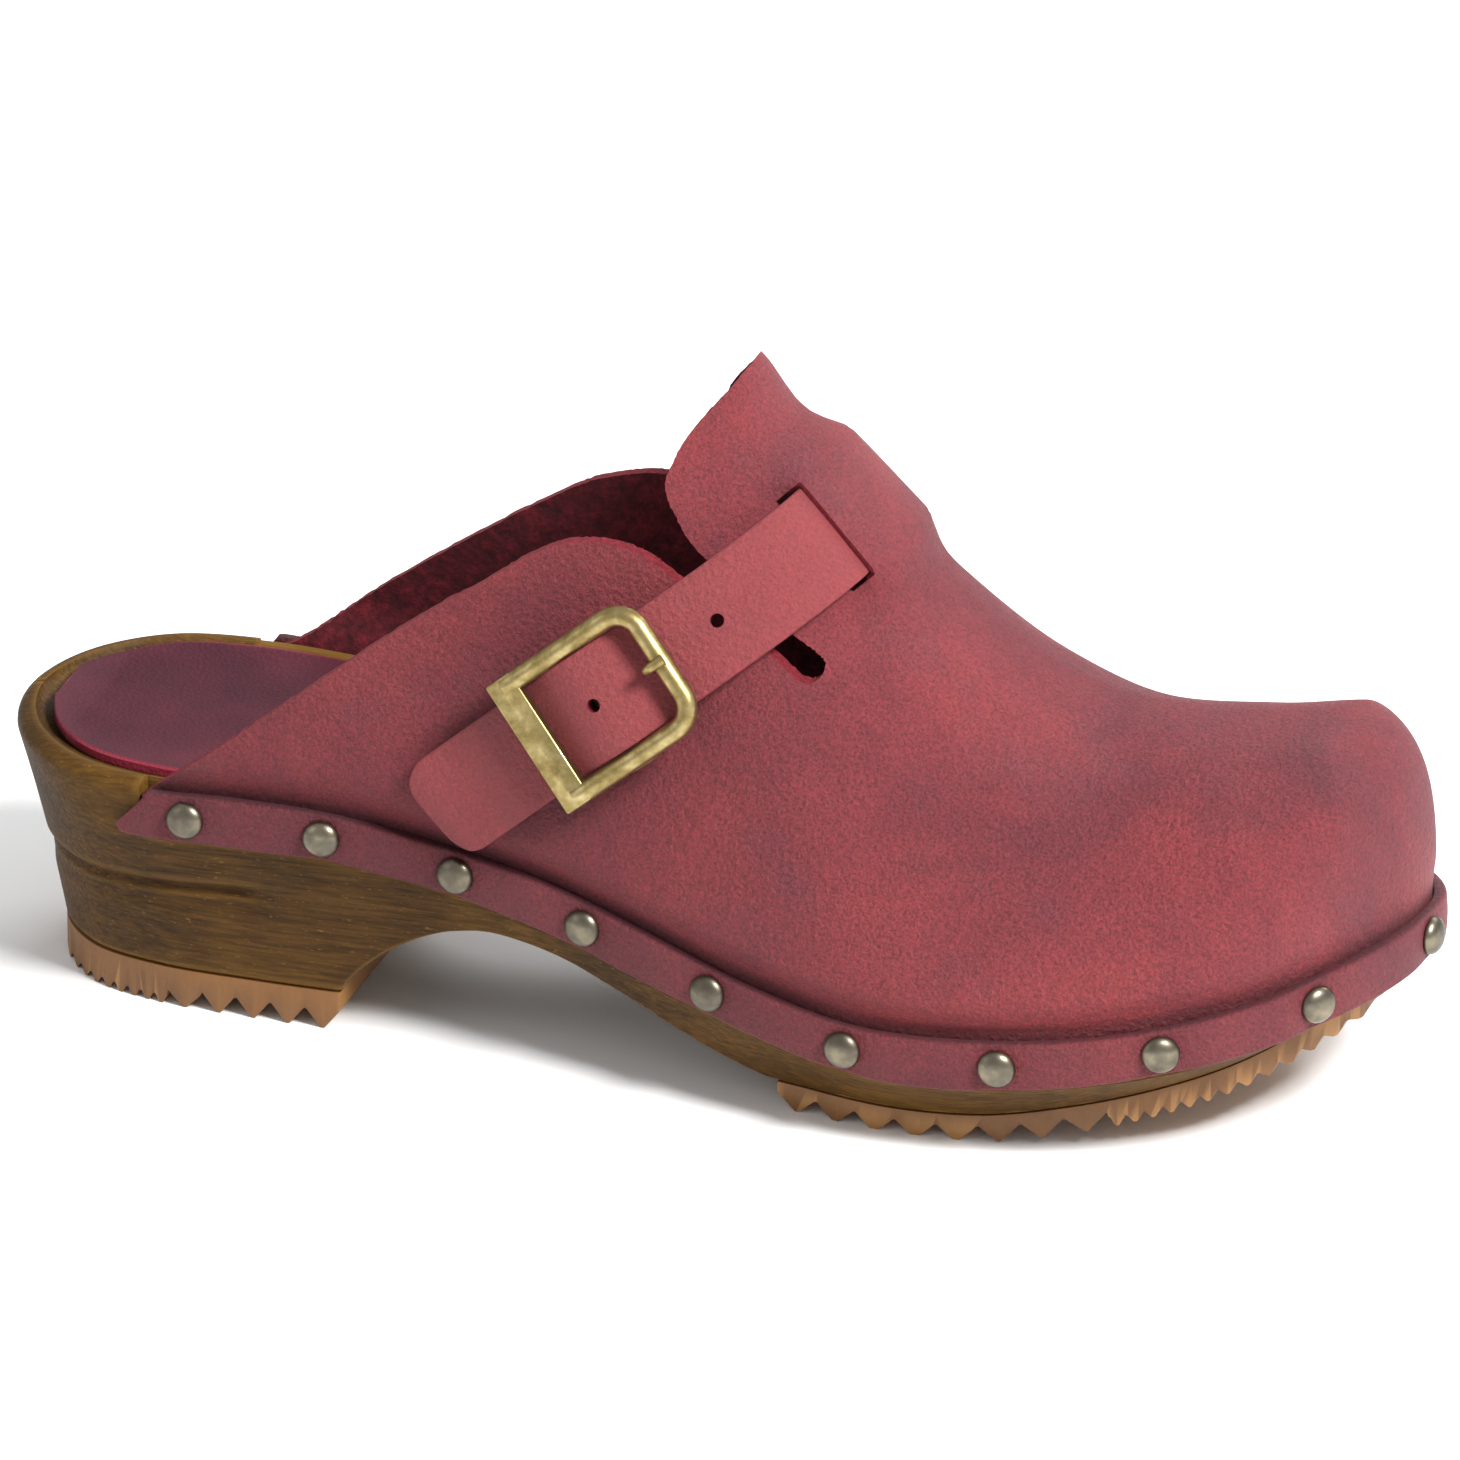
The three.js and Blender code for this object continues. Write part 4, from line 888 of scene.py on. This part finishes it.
LATERAL_TOPLINE = [
    (-97, 42), (-84, 52.4), (-77, 58), (-66.5, 66.2), (-53, 76.5), (-43.5, 83.4), (-36, 88.2),
    (-28, 93.8), (-22, 96.8), (-16, 97.9), (-10, 97.3), (-5.3, 95.6), (-1, 93), (15.5, 83),
    (23, 77.6), (26, 78), (26.6, 80.2), (24.8, 82), (19.8, 85.4), (3.6, 96.8), (-2, 103),
    (-4.4, 107.5), (-3.6, 111.6), (-2, 115.2), (1, 119), (3.4, 121.8), (7, 127),
]
MEDIAL_TOPLINE = [
    (-97, 42.5), (-90, 46.2), (-83, 51.2), (-75.5, 57.4), (-63, 67), (-50.6, 76.1),
    (-38.6, 84.2), (-31, 88.5), (-23, 91.1), (-15, 92.5), (-9, 95), (-5, 100), (-4.4, 107.5),
    (-3.6, 111.6), (-2, 115.2), (1, 119), (3.4, 121.8), (7, 127),
]
FLAP_SPLIT = float(crest_point(np.array([8.3]))[0, 1])


def topline_tool(topline, from_y, to_y):
    line = through(topline, np.linspace(0, len(topline) - 1, 12 * (len(topline) - 1) + 1))
    ragged = np.random.default_rng(7).normal(0, 0.07, line.shape)
    line = line + ragged
    roof = 220
    outline = [tuple(p) for p in line] + [(line[-1][0], roof), (-258, roof), (-258, line[0][1])]
    tool = prism("topline", outline, from_y, to_y, along="Y")
    tool.data.materials.append(cut_edge)
    return tool


def strap_body(name, start, end, half_width, above, below, step=1.0):
    """A plain bar that follows the strap's run, for cutting."""
    at, _, across, normal = strap_frame(np.arange(start, end + step / 2, step))
    loops = np.stack([
        at + across * half_width + normal * above, at - across * half_width + normal * above,
        at - across * half_width - normal * below, at + across * half_width - normal * below,
    ], 1)
    tool = mesh_piece(name, loops)
    tool.data.materials.append(cut_edge)
    return tool


cut(upper, topline_tool(LATERAL_TOPLINE, -92, FLAP_SPLIT))
cut(upper, topline_tool(MEDIAL_TOPLINE, FLAP_SPLIT - 0.1, 92))
half = STRAP_WIDTH / 2 + 0.35
for start, end in ((SLOT - 1.5, SLOT + 8), (MEDIAL_SLOT - 8, MEDIAL_SLOT + 1.5)):
    cut(upper, strap_body("slot", start, end, half, STRAP_THICK / 2 + 0.25, 4.2))
for middle in (SLOT + 0.4, MEDIAL_SLOT - 0.4):
    spot, along_mouth, across_mouth, off_mouth = (row[0] for row in strap_frame([middle]))
    corners = []
    for end in (-1.3, 1.3):
        at = spot + along_mouth * end
        corners.append([at + across_mouth * side * (half + 0.5) + off_mouth * up
                        for side, up in ((1, 7), (-1, 7), (-1, -6), (1, -6))])
    mouth = mesh_piece("mouth", corners)
    mouth.data.materials.append(cut_edge)
    cut(upper, mouth)
tidy_mesh(upper, 0.000005)
# Painted shade on the strip of upper just above the band.
mark_crease_shade(upper, beside_rim(np.linspace(UPPER_START, STATIONS - UPPER_START, 900), -1.3, 0.2),
            0.9, 3.0, 0.8)
shade(upper, 50)
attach(upper, "clog")
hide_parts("upper")

# ---- Edge band ----------------------------------------------------------------------------
# A 9.5 mm strip of the same leather, laid over the nailed edge of the upper all round the rim.
# Each stud pulls it in a little, and it puckers between them.

band_start, band_end = UPPER_START + 0.02, STATIONS - UPPER_START - 0.02
stud_steps = band_start + (band_end - band_start) * np.arange(401) / 400
rim_run = np.linalg.norm(np.diff(beside_rim(stud_steps, 0, 0), axis=0), axis=1)
rim_lengths = np.concatenate([[0], np.cumsum(rim_run)])
stud_run = rim_lengths[-1] - 16
STUDS = 19
stud_shares = np.arange(STUDS) / (STUDS - 1)
stud_lengths = 8 + stud_run * (stud_shares - 0.012 * np.sin(2 * math.pi * stud_shares))
stud_stations = np.interp(stud_lengths, rim_lengths, stud_steps)

stations = np.arange(band_start, band_end, 0.05)
lengths = np.interp(stations, stud_steps, rim_lengths)
from_stud = np.abs(lengths[:, None] - stud_lengths[None]).min(1)
pulled = np.exp(-(from_stud / 4.5) ** 2)
ripple = 0.16 * np.sin(lengths / 3.1) + 0.12 * np.sin(lengths / 7.3 + 1)
corner = 1.6
from_end = np.minimum(lengths - lengths[0], lengths[-1] - lengths)
to_corner = corner - np.minimum(from_end, corner)
squeeze = corner - np.sqrt(np.clip(corner**2 - to_corner ** 2, 0, None))
BAND_MIDDLE = 5.05
half_height, radius = 4.45, 0.62
outside = 2.05
rounded = []
for k in range(20):
    quarter, turn = divmod(k, 5)
    a = quarter * math.pi / 2 + turn / 4 * math.pi / 2
    centre_out = outside - radius if quarter in (0, 1) else radius - 0.15
    centre_drop = -(half_height - radius) if quarter in (0, 3) else half_height - radius
    rounded.append((centre_out + radius * math.sin(a), centre_drop - radius * math.cos(a)))
faces_points = []
for k, (out, down) in enumerate(rounded):
    faces_points.append((out, down))
    after_point = rounded[(k + 1) % 20]
    gap_down = after_point[1] - down
    gap_out = after_point[0] - out
    if abs(gap_down) > 3:
        for part in (0.17, 0.33, 0.5, 0.67, 0.83):
            faces_points.append((out + gap_out * part, down + gap_down * part))
rings = []
for out, down in faces_points:
    bulge = np.where(out > 1, 0.42 * (1 - pulled) * math.cos(down / half_height * 1.25), 0)
    crease = np.where(out > 1, -0.35 * pulled, 0)
    waver = ripple * (0.5 if out > 1 else 0.1)
    push = out + bulge + crease + waver * 0.6
    scaled = down * (1 - squeeze / half_height)
    drift = 0.25 * np.sin(lengths / 11) * np.sign(down)
    slant = 0.3 * (down + half_height) / (2 * half_height) * (1 - smoothstep(from_end, 0, 14))
    lean = np.where(lengths < lengths.mean(), -slant, slant)
    rings.append(beside_rim(stations + lean, -push, BAND_MIDDLE + scaled + drift * 0.6))
band = mesh_piece("nubuck_edge_band", np.stack(rings, 1))
shade(band, 60)
# Painted shade along the band's top edge, where the upper meets it.
mark_crease_shade(band, beside_rim(np.linspace(UPPER_START, STATIONS - UPPER_START, 900), -0.6, 0.3),
            0.5, 1.9, 0.75)
# The band's copy of the leather is shifted a third of the way toward a dark purple: painted shade.
band_leather = nubuck("oiled_nubuck_band", 0.3)
band.data.materials.append(band_leather)
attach(band, "clog")
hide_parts("edge_band")

# ---- Studs --------------------------------------------------------------------------------
# Nineteen upholstery nails with 7 mm domed heads, turned from brass and plated gunmetal. They
# hold band and upper to the wood; only the heads show.


def gunmetal():
    """Antiqued plating: warm grey with brownish tarnish, in rougher and smoother clouds."""
    material = new_material("gunmetal_plated_brass")
    place = node(material, "ShaderNodeTexCoord").outputs["Object"]
    tarnish = noise(material, place, Scale=260.0, Detail=5.0)
    fine = noise(material, place, Scale=2600.0, Detail=2.0)
    colour = ramp(material, tarnish.outputs["Fac"],
                  [(0.32, linear("5C554A")), (0.5, linear("6E685B")), (0.68, linear("8A816C"))])
    rough = ramp(material, tarnish.outputs["Fac"], [(0.3, grey(0.46)), (0.7, grey(0.27))])
    return finish_material(material, colour, rough, fine.outputs["Fac"], 0.03, 0.4, Metallic=1.0)


plating = gunmetal()


def nail_head(name, radius, height, at, direction, shank=0.8, length=5.0):
    """A domed nail, spun from its profile, then set in place along a direction."""
    profile = [(0.0, height)]
    for turn in np.linspace(0, math.pi / 2, 9)[1:]:
        profile.append((radius * math.sin(turn) ** 0.9, height * math.cos(turn)))
    profile += [(radius * 0.985, -0.14), (radius * 0.9, -0.22), (shank, -0.22), (shank, -length),
                (0.0, -length - shank)]
    bpy.ops.object.select_all(action="DESELECT")
    mesh = bpy.data.meshes.new(name)
    mesh.from_pydata([(x * mm, 0, z * mm) for x, z in profile],
                     [(i, i + 1) for i in range(len(profile) - 1)], [])
    piece = linked(name, mesh)
    alone(piece)
    bpy.ops.object.mode_set(mode="EDIT")
    bpy.ops.mesh.select_all(action="SELECT")
    bpy.ops.mesh.spin(steps=28, angle=2 * math.pi, center=(0, 0, 0), axis=(0, 0, 1))
    bpy.ops.mesh.select_all(action="SELECT")
    bpy.ops.mesh.remove_doubles(threshold=0.00001)
    bpy.ops.mesh.normals_make_consistent(inside=False)
    bpy.ops.object.mode_set(mode="OBJECT")
    turn = Vector((0, 0, 1)).rotation_difference(Vector(direction)).to_matrix().to_4x4()
    piece.data.transform(Matrix.Translation(Vector(at) * mm) @ turn)
    tidy_mesh(piece)
    shade(piece, 50)
    return piece


STUD_RADIUS, STUD_HEIGHT, STUD_SEAT = 3.45, 2.0, 2.12
for i, station in enumerate(stud_stations):
    at = beside_rim(station, -STUD_SEAT, BAND_MIDDLE)[0]
    stud = nail_head(f"stud_head_{i + 1:02d}", STUD_RADIUS, STUD_HEIGHT, at,
                     outward_at(np.array([station]))[0])
    stud.data.materials.append(plating)
    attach(stud, "clog")
    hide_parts(f"stud_{i + 1:02d}")

# ---- Strap --------------------------------------------------------------------------------
# A 19 mm strap of the same leather: riveted on the outside of the medial quarter, in through its
# slot, under the crest, out of the lateral slot, through the buckle to a rounded tail.

corner_radius = 5.0
tail = -40.0
tail_turns = np.linspace(0, math.pi / 2, 9)
dense_run = np.concatenate([tail + corner_radius * (1 - np.cos(tail_turns))[:-1],
                            np.arange(tail + corner_radius, ANCHOR_END + 0.1, 0.8)])
at, _, across, normal = strap_frame(dense_run)
from_tail = np.minimum(dense_run - tail, corner_radius)
narrow = corner_radius - np.sqrt(
    np.clip(corner_radius**2 - (corner_radius - from_tail) ** 2, 0, None))
half_width = STRAP_WIDTH / 2 - narrow
half_thick = STRAP_THICK / 2
ring = []
soft = 0.45
for quarter in range(4):
    for turn in np.linspace(0, math.pi / 2, 4):
        a = quarter * math.pi / 2 + turn
        sign_side = 1 if quarter in (0, 3) else -1
        sign_up = 1 if quarter in (0, 1) else -1
        ring.append((sign_side, sign_up, math.cos(a) * soft, math.sin(a) * soft))
loops = []
expanded = []
for k, item in enumerate(ring):
    expanded.append(("corner", item))
    if k % 4 == 3 and k // 4 in (0, 2):
        for part in np.linspace(0, 1, 16)[1:-1]:
            expanded.append(("face", (k // 4, part)))
for kind, item in expanded:
    if kind == "corner":
        side, up, a, b = item
        x = side * (half_width - soft) + a
        z = up * (half_thick - soft) + b + 0 * x
    else:
        quarter, part = item
        sign = 1 if quarter == 0 else -1
        x = (half_width - soft) * (1 - 2 * part) * sign
        z = 0 * x + sign * (half_thick + 0.12 * math.sin(math.pi * part))
    loops.append(at + across * x[:, None] + normal * z[:, None])
strap = mesh_piece("nubuck_strap", np.stack(loops, 1))


def round_cutter(at, direction, radius, low, high):
    """A round tool along a direction, from low to high."""
    bpy.ops.object.select_all(action="DESELECT")
    bpy.ops.mesh.primitive_cylinder_add(vertices=20, radius=radius * mm,
                                        depth=(high - low) * mm)
    tool = bpy.context.active_object
    tool.data.transform(Matrix.Translation((0, 0, (high + low) / 2 * mm)))
    turn = Vector((0, 0, 1)).rotation_difference(Vector(direction)).to_matrix().to_4x4()
    tool.data.transform(Matrix.Translation(Vector(at) * mm) @ turn)
    tool.data.materials.append(cut_edge)
    return tool


# The strap's copy of the leather, worn by the chape too, is shifted a third of the way toward a
# lighter red: painted light.
strap_leather = nubuck("oiled_nubuck_strap", 0.3, "A34A4A")
strap.data.materials.append(strap_leather)
BUCKLE_LENGTH = 31.5
HOLE_PITCH, HOLE_RADIUS = 12, 1.25
prong_column = BUCKLE_LENGTH / 2 - 3.2 / 2 - 3.2 / 2 - 0.3 - 0.75
for step in (-1, 0, 1):
    spot, _, _, out = strap_frame([prong_column + HOLE_PITCH * step])
    cut(strap, round_cutter(spot[0], out[0], HOLE_RADIUS, -4, 4))
tidy_mesh(strap, 0.000005)
shade(strap, 50)
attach(strap, "clog")
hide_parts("strap")

# ---- Buckle -------------------------------------------------------------------------------
# A centre-bar buckle of cast brass, antiqued: a round bar bent to a U with a plain plate behind,
# turning on a round pin that a folded leather chape holds to the lateral quarter.


def on_upper_lateral(x, z):
    """The outside of the upper at an x and a height on the lateral side."""
    def meet(station):
        base = beside_rim(station, 0.3, 0)
        top = crest_point(station)
        high = np.clip((z - base[:, 2]) / (top[:, 2] - base[:, 2]), 0, 1)
        rise = 2 / math.pi * np.arcsin(high ** (smooth_rows(SQUARENESS, station) / 2))
        return rise, upper_point(station, rise)
    station = halved(lambda s: x - meet(s)[1][:, 0], [UPPER_START], [POLE])
    rise, point = meet(station)
    return point[0], upper_normal(station, rise)[0]


seat, seat_normal = on_upper_lateral(BUCKLE_X, BUCKLE_Z)
ahead, _ = on_upper_lateral(BUCKLE_X + RUN[0], BUCKLE_Z + RUN[2])
pin_axis = np.cross(seat_normal, ahead - seat)
pin_axis /= np.linalg.norm(pin_axis)
forward = np.cross(pin_axis, seat_normal)
BUCKLE = Matrix([[*row, 0] for row in np.stack([forward, pin_axis, seat_normal], 1)]
                + [[0, 0, 0, 1]])
BUCKLE.translation = Vector(seat) * mm


def in_buckle(points):
    """Points of the buckle's own frame, in the row frame: along, across, off the upper."""
    rotation = np.array(BUCKLE)[:3, :3]
    return np.asarray(points, float) @ rotation.T + seat


def bar_along(name, line, radius, square, sides=20):
    """A round bar along a bent line; square is a direction square to all of it."""
    line = np.asarray(line, float)
    along = np.gradient(line, axis=0)
    along /= np.linalg.norm(along, axis=1)[:, None]
    square = np.asarray(square, float)
    beside = np.cross(square, along)
    turns = np.arange(sides) / sides * 2 * math.pi
    radius = np.broadcast_to(np.asarray(radius, float), (len(line),))
    wide = np.cos(turns)[None, :, None] * radius[:, None, None]
    high = np.sin(turns)[None, :, None] * radius[:, None, None]
    loops = line[:, None] + beside[:, None] * wide + square[None, None] * high
    return mesh_piece(name, in_buckle(loops.reshape(-1, 3)).reshape(loops.shape))


def bevelled_box(name, size, middle, bevel, segments=3):
    bpy.ops.object.select_all(action="DESELECT")
    bpy.ops.mesh.primitive_cube_add(size=1)
    piece = bpy.context.active_object
    piece.name = name
    piece.data.transform(Matrix.Diagonal((size[0] * mm, size[1] * mm, size[2] * mm, 1)))
    apply_modifier(piece, "BEVEL", width=bevel * mm, segments=segments)
    piece.data.transform(BUCKLE @ Matrix.Translation(Vector(middle) * mm))
    return piece


def across_pin(name, radius, from_y, to_y, height, sides=24):
    line = [(0, y, height) for y in np.linspace(from_y, to_y, 4)]
    return bar_along(name, line, radius, (0, 0, 1), sides)


def antique_brass():
    """Cast brass, tumbled and antiqued: pale gold on the crowns, brown tarnish in the hollows."""
    material = new_material("antique_brass")
    place = node(material, "ShaderNodeTexCoord").outputs["Object"]
    tarnish = noise(material, place, Scale=300.0, Detail=6.0, Roughness=0.65)
    scratch = node(material, "ShaderNodeTexNoise", [("Vector", node(
        material, "ShaderNodeMapping", [("Vector", place)], Scale=(1, 0.25, 1)).outputs[0])],
        Scale=2400.0, Detail=3.0)
    colour = ramp(material, tarnish.outputs["Fac"],
                  [(0.30, linear("76663F")), (0.48, linear("9A8858")), (0.70, linear("BDAC7C"))])
    edge = node(material, "ShaderNodeNewGeometry").outputs["Pointiness"]
    hollow = ramp(material, edge, [(0.42, grey(0.85)), (0.495, grey(0))])
    colour = mixed(material, hollow, colour, linear("3A2E16"))
    rough = ramp(material, tarnish.outputs["Fac"], [(0.3, grey(0.5)), (0.7, grey(0.3))])
    return finish_material(material, colour, rough, scratch.outputs["Fac"], 0.04, 0.5,
                           Metallic=1.0)


brass = antique_brass()
PIN_HEIGHT, FRAME_HEIGHT, ROD = 4.0, 7.7, 3.7
BUCKLE_WIDTH = 26.0
PIN_RADIUS, BORE_RADIUS, PLATE_LENGTH = 1.1, 1.3, 5.5
front_bar = BUCKLE_LENGTH / 2 - 1.5
side_bar = BUCKLE_WIDTH / 2 - 1.55
plate_middle = -BUCKLE_LENGTH / 2 + PLATE_LENGTH / 2
corner = 4.8
line = [(x, -side_bar, FRAME_HEIGHT) for x in np.linspace(plate_middle, front_bar - corner, 14)]
for sign in (-1, 1):
    for turn in np.linspace(0, math.pi / 2, 9)[1:]:
        a = turn if sign > 0 else turn - math.pi / 2
        line.append((front_bar - corner + corner * math.cos(a),
                     sign * (side_bar - corner) + corner * math.sin(a), FRAME_HEIGHT))
line += [(x, side_bar, FRAME_HEIGHT) for x in np.linspace(front_bar - corner, plate_middle, 14)[1:]]
frame_bar = bar_along("brass_buckle_frame", line, ROD / 2, (0, 0, 1), 24)
plate = bevelled_box("plate", (PLATE_LENGTH, BUCKLE_WIDTH + 0.4, 2.5),
                     (plate_middle, 0, FRAME_HEIGHT), 0.45)
cut(frame_bar, plate, "UNION")
for side in (-1, 1):
    eye = across_pin("eye", 2.45, side * (side_bar - ROD / 2), side * (side_bar + ROD / 2),
                     PIN_HEIGHT)
    cut(frame_bar, eye, "UNION")
cut(frame_bar, across_pin("bore", BORE_RADIUS, -BUCKLE_WIDTH, BUCKLE_WIDTH, PIN_HEIGHT))
tidy_mesh(frame_bar, 0.000005)
soften(frame_bar, 0.12, 50)
shade(frame_bar, 40)
frame_bar.data.materials.clear()
frame_bar.data.materials.append(brass)
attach(frame_bar, "buckle")
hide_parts("buckle_frame")

pin = across_pin("brass_pin", PIN_RADIUS, -BUCKLE_WIDTH / 2, BUCKLE_WIDTH / 2, PIN_HEIGHT)
soften(pin, 0.25, 50)
shade(pin, 40)
pin.data.materials.append(brass)
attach(pin, "clog")
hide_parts("buckle_pin")

low, high = 1.5, FRAME_HEIGHT + ROD / 2 + 0.3 + 0.85
rough_line = [(1.6, 0, PIN_HEIGHT - 1.2), (4, 0, low + 0.2), (prong_column - 1.2, 0, low),
              (prong_column, 0, low + 1.2), (prong_column, 0, high - 1.6),
              (prong_column + 0.8, 0, high - 0.3), (front_bar - 0.4, 0, high),
              (front_bar + 1.4, 0, high - 0.35)]
line = through(rough_line, np.linspace(0, len(rough_line) - 1, 64))
radii = np.interp(np.arange(64), [0, 40, 50, 63], [0.75, 0.75, 0.95, 1.05])
prong = bar_along("brass_prong", line, radii, (0, 1, 0), 16)
cut(prong, across_pin("ring", 2.35, -1.5, 1.5, PIN_HEIGHT), "UNION")
cut(prong, across_pin("bore", BORE_RADIUS, -6, 6, PIN_HEIGHT))
tidy_mesh(prong, 0.000005)
shade(prong, 40)
prong.data.materials.clear()
prong.data.materials.append(brass)
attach(prong, "prong")
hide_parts("buckle_prong")

outline = [(-12, 0.55), (-8, 0.55), (-3, 0.55)]
loop_radius = PIN_RADIUS + 0.25 + 1.1
for a in np.linspace(-2 * math.pi / 3, 0.6 * math.pi, 28):
    outline.append((loop_radius * math.cos(a), PIN_HEIGHT + loop_radius * math.sin(a)))
outline += [(-4.5, 2.95), (-8, 2.75), (-12, 2.75)]
chape = prism("nubuck_chape", outline, -6, 6, along="Y")
chape.data.transform(BUCKLE)
cut(chape, across_pin("bore", 1.35, -12, 12, PIN_HEIGHT))
window = bevelled_box("window", (2 * loop_radius + 1, 3.6, 20), (0, 0, 11.2), 0.1, 1)
cut(chape, window)
tidy_mesh(chape, 0.000005)
soften(chape, 0.2, 40)
shade(chape, 40)
chape.data.materials.clear()
chape.data.materials.append(strap_leather)
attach(chape, "clog")
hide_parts("buckle_chape")

# ---- Rivets -------------------------------------------------------------------------------
# Two small rivets hold the chape to the lateral quarter, and two larger ones the strap's end to
# the medial quarter. Plated like the studs.

chape_top = 0.55 + 2.2 + 0.3
for i, y in enumerate((-3.4, 3.4)):
    at = in_buckle([(-8, y, chape_top)])[0]
    rivet = nail_head(f"chape_rivet_head_{i + 1:02d}", 2.0, 0.55, at, seat_normal, 0.8, 5.5)
    rivet.data.materials.append(plating)
    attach(rivet, "clog")
    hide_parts(f"chape_rivet_{i + 1:02d}")
for i, back in enumerate((6, 14)):
    spot, _, _, out = strap_frame([ANCHOR_END - back])
    at = spot[0] + out[0] * (STRAP_THICK / 2 + 0.2)
    rivet = nail_head(f"anchor_rivet_head_{i + 1:02d}", 3.0, 0.8, at, out[0], 0.8, 6.5)
    rivet.data.materials.append(plating)
    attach(rivet, "clog")
    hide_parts(f"anchor_rivet_{i + 1:02d}")

# ---- Floor, light and camera --------------------------------------------------------------
# A white sweep under soft studio boxes, seen from the toe side of the lateral face.


def studio_white():
    material = new_material("studio_white")
    shader = node(material, "ShaderNodeBsdfPrincipled", Base_Color=(0.93, 0.93, 0.93, 1),
                  Roughness=0.9)
    node(material, "ShaderNodeOutputMaterial", [("Surface", shader.outputs[0])])
    return material


bpy.ops.object.select_all(action="DESELECT")
bpy.ops.mesh.primitive_plane_add(size=30)
floor = bpy.context.active_object
floor.name = "studio_floor"
floor.data.materials.append(studio_white())

world = bpy.data.worlds.new("studio")
bpy.context.scene.world = world
world.use_nodes = True
world.node_tree.nodes["Background"].inputs["Color"].default_value = (1, 1, 1, 1)
world.node_tree.nodes["Background"].inputs["Strength"].default_value = 0.58


def softbox(name, place, aim, size, power):
    data = bpy.data.lights.new(name, "AREA")
    data.shape = "RECTANGLE"
    data.size, data.size_y = size
    data.energy = power
    lamp = linked(name, data)
    lamp.location = place
    lamp.rotation_euler = (Vector(aim) - Vector(place)).to_track_quat("-Z", "Y").to_euler()


softbox("key", (0.8, -0.4, 1.0), (0.02, 0, 0.05), (0.4, 0.3), 30)
softbox("fill", (-0.8, -0.6, 0.5), (0, 0, 0.05), (0.6, 0.6), 1.0)
softbox("rim", (0.3, 0.8, 0.7), (0, 0, 0.07), (0.8, 0.3), 5)

view_turn, view_down = math.radians(18), math.radians(24)
right = np.array([math.cos(view_turn), math.sin(view_turn), 0])
look = np.array([-math.sin(view_turn) * math.cos(view_down),
                 math.cos(view_turn) * math.cos(view_down), -math.sin(view_down)])
up = np.cross(right, look)
DISTANCE, VIEW_WIDTH, SENSOR = 3000.0, 258.87, 36
middle_point = 1.60 * right + 49.47 * up
camera_data = bpy.data.cameras.new("camera")
camera_data.sensor_width = SENSOR
camera_data.lens = SENSOR * DISTANCE / VIEW_WIDTH
camera_data.clip_start, camera_data.clip_end = 0.1, 50
camera = linked("camera", camera_data)
camera.location = Vector((middle_point - look * DISTANCE) * mm)
camera.rotation_euler = Vector(look).to_track_quat("-Z", "Y").to_euler()
bpy.context.scene.camera = camera
bpy.context.scene.view_settings.view_transform = "Standard"
